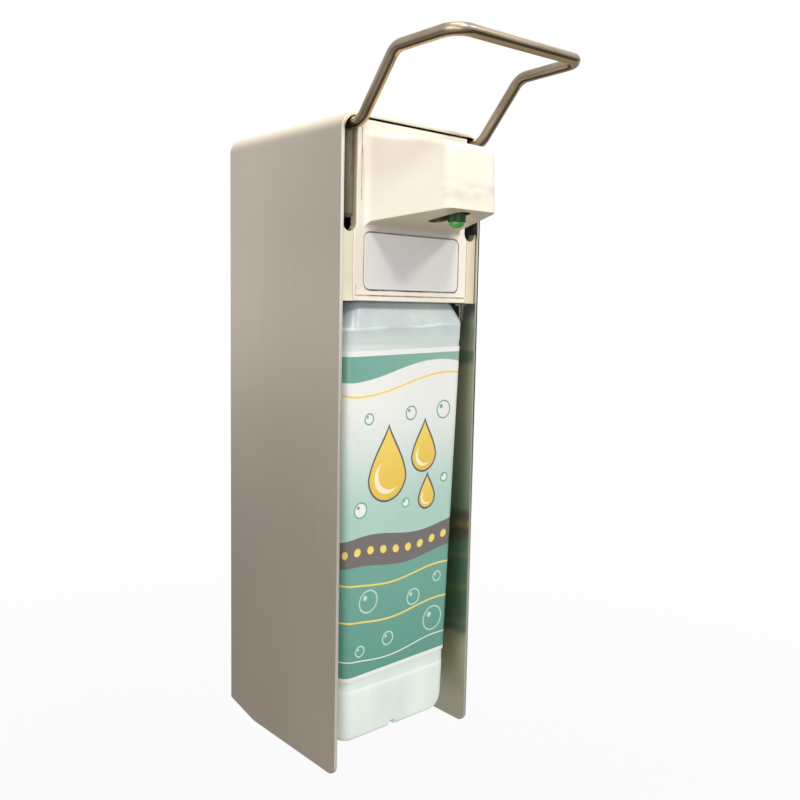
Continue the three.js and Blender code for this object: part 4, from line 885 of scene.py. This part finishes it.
def mouldCover():
    cover = {"slotSteps": 10} | inMm({
        "half": 49, "neckHalf": 46.8, "foot": 96, "step": 139.9, "top": 205.9, "lowDepth": 3.7, "topDepth": 6.4,
        "cheek": 2, "edge": 0.9, "slotCentre": 52.15, "slotRound": 5.35, "slotRise": 143.35, "hollow": (2.4, 9),
        "hollowDrop": 20, "hollowTop": 2, "backHalf": 60, "clear": 5, "root": 0.25, "innerFoot": 0.8,
        "innerDepth": 10, "mouthHalf": 5.9,
        "mouthFront": -177, "mouthBack": -145, "mouthZ": (130, 170), "face": (40.7, 103.2, 138.2), "faceGap": 0.55,
        "faceRound": 4.9, "pocket": (-2, 1.6), "lineHalf": 47.4, "lineRise": 46.7, "line": (99, 99.7), "lineTop": 106,
        "lineDepth": (-1, 0.6), "seam": 43.6, "seamHalf": 0.175, "seamRise": (157, 201), "seamDepth": (-1, 0.4),
        "finalEdge": 0.25, "merge": 0.01})
    front = hood["front"]
    height = cover["top"] - cover["foot"]
    neck, rise = cover["neckHalf"], cover["slotRise"]

    def cutBox(name, low, high, corner=None, axis=1):  # low and high in x and z, and in y from the front
        cutter = addBox(name, (low[0], front + low[1], low[2]), (high[0], front + high[1], high[2]))
        if corner:
            bevelWhere(cutter, lambda edge: runsAlong(edge, axis), corner, 10)
        combine(piece, cutter)

    piece = addUpright("front_cover_moulded", (0, front, cover["foot"] + height / 2), 2 * cover["half"], height)
    openEdit(piece)
    for side in (-1, 1):
        cutPlane((side * neck, 0, 0), (1, 0, 0))
    cutPlane((0, 0, rise), (0, 0, 1))
    choose(piece, "faces", lambda face: abs(face.calc_center_median().x) > neck and
           face.calc_center_median().z > rise)
    bpy.ops.mesh.delete(type="FACE")
    steps = cover["slotSteps"]
    for side in (-1, 1):  # the slots' round feet cut into the cover's shoulders
        choose(piece, "edges", lambda edge: liesAt(edge, 2, rise) and middle(edge).x * side > neck)
        bpy.ops.mesh.subdivide(number_cuts=steps - 1)
        last = math.acos((cover["slotCentre"] - cover["half"]) / cover["slotRound"])
        for index in range(1, steps + 1):
            old = neck + (cover["half"] - neck) * index / steps
            angle = last * index / steps
            choose(piece, "verts", lambda vert: near(vert.co.x, side * old, 0.02 * mm) and near(vert.co.z, rise))
            move = cover["slotCentre"] - cover["slotRound"] * math.cos(angle) - old
            bpy.ops.transform.translate(value=(side * move, 0, -cover["slotRound"] * math.sin(angle)))
    selectAll()
    bpy.ops.mesh.dissolve_limited(angle_limit=math.radians(1))
    selectAll()
    extrude((0, cover["topDepth"], 0))
    cleanUp(piece)
    outer = cover["backHalf"]
    cutBox("lower_back", (-outer, cover["lowDepth"], cover["foot"] - cover["clear"]),
           (outer, cover["topDepth"] + cover["clear"], cover["step"]))
    inner = neck - cover["cheek"]
    cutBox("cover_hollow", (-inner, cover["hollow"][0], cover["step"] - cover["hollowDrop"]),
           (inner, cover["hollow"][1], cover["top"] + cover["hollowTop"]))
    bevelWhere(piece, lambda edge: near(middle(edge).y, front, 0.02 * mm), cover["edge"])

    stations = []
    for index in range(hood["flareSteps"] + 1):
        angle = index / hood["flareSteps"] * math.pi / 2
        lift = 1 - math.sin(angle)
        y = front + cover["root"] - (1 - math.cos(angle)) * hood["footFlare"]
        stations.append(hoodStation(y, hood["flare"] * lift, hood["footFlare"] * lift))
    tip = front - hood["reach"]
    combine(piece, hoodSolid("hood_outer", stations + tipStations(tip, hood["tipRound"]),
                             hood["topRound"] + hood["flare"] / 2, hood["footRound"]), "UNION")
    wall = hood["wall"]
    back = hoodStation(front + cover["innerDepth"], -wall, -wall)
    combine(piece, hoodSolid("hood_inner", [back] + tipStations(tip + wall, hood["tipRound"] - wall, wall),
                             hood["topRound"] - wall, cover["innerFoot"]))
    half = cover["mouthHalf"]
    cutBox("nozzle_slot", (-half, cover["mouthFront"] - front, cover["mouthZ"][0]),
           (half, cover["mouthBack"] - front, cover["mouthZ"][1]), half * 0.96, 2)
    half, foot, top = cover["face"]
    gap = cover["faceGap"]
    cutBox("face_pocket", (-half - gap, cover["pocket"][0], foot - gap), (half + gap, cover["pocket"][1], top + gap),
           cover["faceRound"])
    half = cover["lineHalf"]
    fore, aft = cover["lineDepth"]
    cutBox("moulded_line", (-half, fore, cover["line"][0]), (half, aft, cover["line"][1]))
    cutBox("moulded_rise", (-half, fore, cover["line"][0]), (-cover["lineRise"], aft, cover["lineTop"]))
    for side in (-1, 1):
        seam = side * cover["seam"]
        cutBox("side_seam", (seam - cover["seamHalf"], cover["seamDepth"][0], cover["seamRise"][0]),
               (seam + cover["seamHalf"], cover["seamDepth"][1], cover["seamRise"][1]))
    cleanUp(piece, cover["merge"])
    openEdit(piece, "VERT")
    selectAll()
    bpy.ops.mesh.dissolve_degenerate(threshold=cover["merge"])
    roundEdges(piece, cover["finalEdge"], angle=55)
    dress(piece, "ivory", "pump_unit", "front_cover", 32, True)


def mouldFacePlate():
    face = {"round": 4.5 * mm, "rim": 0.7 * mm}
    low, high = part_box("front_plate")
    piece = addBox("front_plate_moulded", low, high)
    bevelWhere(piece, lambda edge: runsAlong(edge, 1), face["round"], 12)
    bevelWhere(piece, lambda edge: liesAt(edge, 1, low.y), face["rim"])
    dress(piece, "grey", "pump_unit", "front_plate", 40, True)


mouldCover()
mouldFacePlate()
print("cover and its plate moulded")


# Nozzle

def turnRing():
    ring = {"sides": 48} | inMm({
        "bevel": 0.6, "inset": 0.12, "rib": 0.35, "skirt": 1.2})
    low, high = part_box("nozzle_ring")
    low.z -= ring["skirt"]
    piece = addRound("nozzle_ring_turned", (low + high) / 2, (high.x - low.x) / 2, high.z - low.z, ring["sides"])

    def isRib(face):  # every fourth face round the ring
        turn = math.atan2(face.normal.y, face.normal.x) / math.tau * ring["sides"]
        return abs(face.normal.z) < 0.1 and int(round(turn - 0.5)) % 4 == 0

    openEdit(piece)
    choose(piece, "faces", isRib)
    bpy.ops.mesh.inset(thickness=ring["inset"], use_individual=True)
    bpy.ops.transform.shrink_fatten(value=-ring["rib"])
    bevelWhere(piece, lambda edge: not runsAlong(edge, 2) and any(near(middle(edge).z, z) for z in (low.z, high.z)),
               ring["bevel"], 3)
    dress(piece, "black", "pump_plunger", "nozzle_ring", 40, True)


def turnTip():
    tip = {"sides": 10, "mouth": 0.64} | inMm({
        "overlap": 1, "rise": 1.7, "lip": 0.6, "bore": 3, "edge": 0.25})
    low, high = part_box("nozzle_tip")
    centre = (low + high) / 2
    radius = (high.x - low.x) / 2
    foot, top = low.z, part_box("nozzle_ring")[0].z + tip["overlap"]
    piece = addRound("nozzle_tip_turned", (centre.x, centre.y, (foot + top) / 2), radius, top - foot, tip["sides"])
    openEdit(piece)
    choose(piece, "faces", lambda face: face.normal.z < -0.99)
    extrude((0, 0, 0))
    bpy.ops.transform.resize(value=(tip["mouth"], tip["mouth"], 1), center_override=(centre.x, centre.y, foot))
    openEdit(piece, "VERT")
    choose(piece, "verts", lambda vert: near(vert.co.z, foot) and (vert.co.xy - centre.xy).length > radius * 0.9)
    bpy.ops.transform.translate(value=(0, 0, tip["rise"]))
    openEdit(piece)
    choose(piece, "faces", lambda face: face.normal.z < -0.99 and near(face.calc_center_median().z, foot))
    bpy.ops.mesh.inset(thickness=tip["lip"])
    extrude((0, 0, tip["bore"]))
    cleanUp(piece)
    roundEdges(piece, tip["edge"], angle=25)
    dress(piece, "green", "pump_plunger", "nozzle_tip", 25)


turnRing()
turnTip()
print("nozzle turned")


# Bottle and label

bottle = {"cutSteps": 6} | inMm({
    "centre": -77, "foot": -195.8, "shoulder": 83, "cap": 96, "throat": 101.5, "neckFoot": 104, "neckTop": 127.3,
    "halfX": 52, "halfY": 50, "footHalfX": 46.75, "footHalfY": 43.5, "corner": 8, "capInset": 5.5,
    "throatHalf": (38, 37), "neckSpread": 3, "recess": 0.35, "recessTop": 68.5, "recessFoot": -160, "step": 2.4,
    "stepRound": 0.7, "shoulderRound": 1.3, "capRound": 2.5, "footRound": 3, "shoulderDrop": 4, "cutAcross": 20,
    "cutUp": 24, "notch": (-6.5, -0.5), "notchDepth": 14, "notchRise": 4.6, "notchRound": 1.2, "clear": 5, "neck": 18,
    "neckRoot": 3, "neckRound": 0.8})


def bottleHalf(z):
    share = (z - bottle["foot"]) / (bottle["shoulder"] - bottle["foot"])
    return (bottle["footHalfX"] + (bottle["halfX"] - bottle["footHalfX"]) * share,
            bottle["footHalfY"] + (bottle["halfY"] - bottle["footHalfY"]) * share)


def blowBottle():
    b = bottle
    x, y = b["footHalfX"], b["footHalfY"]
    front = b["centre"] - y
    axis = (0, b["centre"], 0)
    past = (b["halfX"], b["halfY"], b["shoulder"])
    piece = addTaper("bottle_blown", b["centre"], (x, y, b["foot"]), past)
    neckHalf = b["neck"] + b["neckSpread"]
    for halfX, halfY, z in ((b["halfX"] - b["capInset"], b["halfY"] - b["capInset"], b["cap"]),
                            (*b["throatHalf"], b["throat"]), (neckHalf, neckHalf, b["neckFoot"])):
        extrude((0, 0, z - past[2]))
        bpy.ops.transform.resize(value=(halfX / past[0], halfY / past[1], 1), center_override=axis)
        past = (halfX, halfY, z)
    bevelWhere(piece, rises, b["corner"], 9)
    bevelWhere(piece, lambda edge: liesAt(edge, 2, b["foot"]), b["footRound"], 5)
    steps = (b["recessFoot"] - b["step"], b["recessFoot"], b["recessTop"], b["recessTop"] + b["step"])
    openEdit(piece)
    for z in steps:
        cutPlane((0, 0, z), (0, 0, 1))
    choose(piece, "faces", lambda face: b["recessFoot"] < face.calc_center_median().z < b["recessTop"])
    bpy.ops.transform.shrink_fatten(value=-b["recess"])
    closeEdit()
    for levels, width, count in ((steps, b["stepRound"], 2), ((b["shoulder"],), b["shoulderRound"], 4),
                                 ((b["cap"],), b["capRound"], 4)):
        bevelWhere(piece, lambda edge: not runsAlong(edge, 2, 0.5) and
                   any(near(middle(edge).z, z) for z in levels), width, count)
    openEdit(piece, "VERT")  # the shoulder's crease comes down towards the left
    choose(piece, "verts", lambda vert: vert.co.x < 0 and abs(vert.co.z - b["shoulder"]) < 3 * mm)
    bpy.ops.transform.translate(value=(0, 0, -b["shoulderDrop"]))
    openEdit(piece)
    for index in range(b["cutSteps"]):  # the right foot corner is blown round: cuts along a quarter ellipse
        angle = (index + 0.5) / b["cutSteps"] * math.pi / 2
        touch = (x - b["cutAcross"] * (1 - math.cos(angle)), 0, b["foot"] + b["cutUp"] * (1 - math.sin(angle)))
        outward = Vector((math.cos(angle) / b["cutAcross"], 0, -math.sin(angle) / b["cutUp"])).normalized()
        cutPlane(touch, outward, use_fill=True, clear_outer=True)
    closeEdit()
    left, right = b["notch"]
    notch = addBox("foot_notch", (left, front - b["clear"], b["foot"] - b["clear"]),
                   (right, front + b["notchDepth"], b["foot"] + b["notchRise"]))
    bevelWhere(notch, lambda edge: runsAlong(edge, 1), b["notchRound"])
    combine(piece, notch)
    neckTop = b["neckTop"]
    neckMiddle = (b["neckFoot"] + neckTop) / 2 - b["neckRoot"] / 2
    neck = addRound("bottle_neck", (0, b["centre"], neckMiddle), b["neck"],
                    neckTop - (b["neckFoot"] - b["neckRoot"]), 64)
    bevelWhere(neck, lambda edge: liesAt(edge, 2, neckTop), b["neckRound"], 3)
    combine(piece, neck, "UNION")
    cleanUp(piece, 0.01 * mm)
    dress(piece, "milky", "pump_unit", "bottle", 40)


blowBottle()
print("bottle blown")


def wrapLabel():
    label = inMm({"foot": -152.8, "top": 65.5, "lift": 0.2, "film": 0.12, "backCut": 12, "corner": 7.6, "flat": 43,
        "askew": 0.95, "whiteFoot": 2.8})
    foot, top, centre = label["foot"], label["top"], bottle["centre"]
    footX, footY = (half - label["lift"] for half in bottleHalf(foot))
    topX, topY = (half - label["lift"] for half in bottleHalf(top))
    piece = addTaper("label_wrapped", centre, (footX, footY, foot), (topX, topY, top))
    bevelWhere(piece, rises, label["corner"], 9)
    openEdit(piece)
    cutPlane((0, centre + bottle["footHalfY"] - label["backCut"], 0), (0, 1, 0), clear_outer=True)
    choose(piece, "faces", lambda face: abs(face.normal.z) > 0.9)
    bpy.ops.mesh.delete(type="FACE")
    applyModifier(piece, "SOLIDIFY", thickness=label["film"], offset=-1)
    for old in list(piece.data.uv_layers):
        piece.data.uv_layers.remove(old)
    layer = piece.data.uv_layers.new(name="print")
    for loop in piece.data.loops:  # unrolled: along the film from the middle of the front, then up
        x, y, z = piece.data.vertices[loop.vertex_index].co
        back = max(0, y - (centre - bottleHalf(z)[1])) if abs(x) > label["flat"] else 0
        layer.data[loop.index].uv = (math.copysign(abs(x) + back, x), z - foot)
    for side in (-1, 1):  # the film is stuck on a little askew
        openEdit(piece, "VERT")
        choose(piece, "verts", lambda vert: vert.co.x * side > 0)
        bpy.ops.transform.translate(value=(0, 0, side * label["askew"]))
        closeEdit()
    finishes["label"] = (printedLabel(top - foot, label["whiteFoot"]), "label_print")
    dress(piece, "label", "pump_unit", "label", 40)


wrapLabel()
print("label printed and wrapped")


# Floor, lights and camera

def lightStage():
    stage = {"ambient": 0.33, "tint": (0.93, 0.99, 1.05), "floor": -0.62, "floorSize": 14,
             "floorTone": 0.55, "floorFade": (0.5, 2.2), "floorWhite": 0.92}
    world = bpy.data.worlds.new("studio")
    scene.world = world
    world.use_nodes = True
    tree = world.node_tree
    background = tree.nodes["Background"]
    rays = addNode(tree, "ShaderNodeLightPath").outputs
    direct, glossy, through = (Field(tree, rays[name]) for name in
                               ("Is Camera Ray", "Is Glossy Ray", "Is Transmission Ray"))
    grey = tuple(stage["ambient"] * share for share in stage["tint"]) + (1,)
    # The sky shows white to the camera and in reflections, and lights the object softly
    sky = addNode(tree, "ShaderNodeMix", {0: largest(direct, largest(glossy, through)), 6: grey, 7: (1, 1, 1, 1)},
                  data_type="RGBA")
    tree.links.new(sky.outputs[2], background.inputs["Color"])
    background.inputs["Strength"].default_value = 1
    clearSelection()
    bpy.ops.mesh.primitive_plane_add(size=stage["floorSize"], location=(0, 0, stage["floor"]))
    floor = bpy.context.object
    floor.name = "studio_floor"
    tone = stage["floorTone"]
    pale = Finish("pale_floor", stage, Base_Color=(tone, tone, tone, 1), Roughness=0.9)
    glow = pale.field("ShaderNodeEmission", 0, {"Color": (1, 1, 1, 1), "Strength": 1})
    reach = pale.field("ShaderNodeVectorMath", "Value", {0: pale.field("ShaderNodeTexCoord", "Object")},
                       operation="LENGTH")
    seen = pale.field("ShaderNodeLightPath", "Is Camera Ray") * reach.ramp(*stage["floorFade"], stage["floorWhite"], 1)
    surface = pale.field("ShaderNodeMixShader", 0, {0: seen, 1: Field(pale.tree, pale.shader.outputs[0]), 2: glow})
    pale.tree.links.new(surface.socket, pale.tree.nodes["Material Output"].inputs["Surface"])
    floor.data.materials.append(pale.material)
    lamps = {  # place, aimed at, size, watts, colour
        "left": ((-0.34, -1.75, 1.65), (0, -0.12, 0.1), 0.36, 16.3, (1.0, 0.96, 0.9)),
        "right": ((1.09, -1.75, 1.62), (0, -0.12, 0.1), 0.36, 18.6, (1.0, 0.96, 0.9)),
        "top": ((-0.3, -0.5, 1.9), (0, -0.1, 0.1), 0.9, 12, (1.0, 0.98, 0.95)),
        "topShadeRise": ((-0.8, -1.15, 0.02), (0, -0.1, 0), 0.5, 2.2, (1.0, 0.98, 0.95)),
        "side": ((-2.0, -0.9, 0.4), (0, -0.1, -0.05), 1.4, 17, (1.0, 0.94, 0.87)),
    }
    for name, (position, aim, width, watts, tint) in lamps.items():
        clearSelection()
        bpy.ops.object.light_add(type="AREA", location=position)
        lamp = bpy.context.object
        lamp.name = name + "_light"
        lamp.data.size = width
        lamp.data.energy = watts
        lamp.data.color = tint
        lamp.rotation_euler = (Vector(aim) - Vector(position)).to_track_quat("-Z", "Y").to_euler()


def aimCamera():
    view = {"place": (-0.37725, -0.54886, 0.09341), "azimuth": -41.23, "elevation": 6.24, "roll": 1.13,
            "lens": 38.74, "sensor": 36, "nearest": 0.01}
    azimuth, elevation, roll = (math.radians(view[key]) for key in ("azimuth", "elevation", "roll"))
    back = Vector((math.sin(azimuth) * math.cos(elevation), -math.cos(azimuth) * math.cos(elevation),
                   math.sin(elevation)))
    right = (-back).cross(Vector((0, 0, 1))).normalized()
    up = right.cross(-back)
    across = right * math.cos(roll) + up * math.sin(roll)
    upright = up * math.cos(roll) - right * math.sin(roll)
    clearSelection()
    bpy.ops.object.camera_add(location=view["place"])
    camera = bpy.context.object
    camera.matrix_world = Matrix.Translation(view["place"]) @ Matrix((across, upright, back)).transposed().to_4x4()
    camera.data.lens = view["lens"]
    camera.data.sensor_width = view["sensor"]
    camera.data.clip_start = view["nearest"]
    scene.camera = camera


lightStage()
aimCamera()
scene.view_settings.view_transform = "Standard"
print("stage lit")
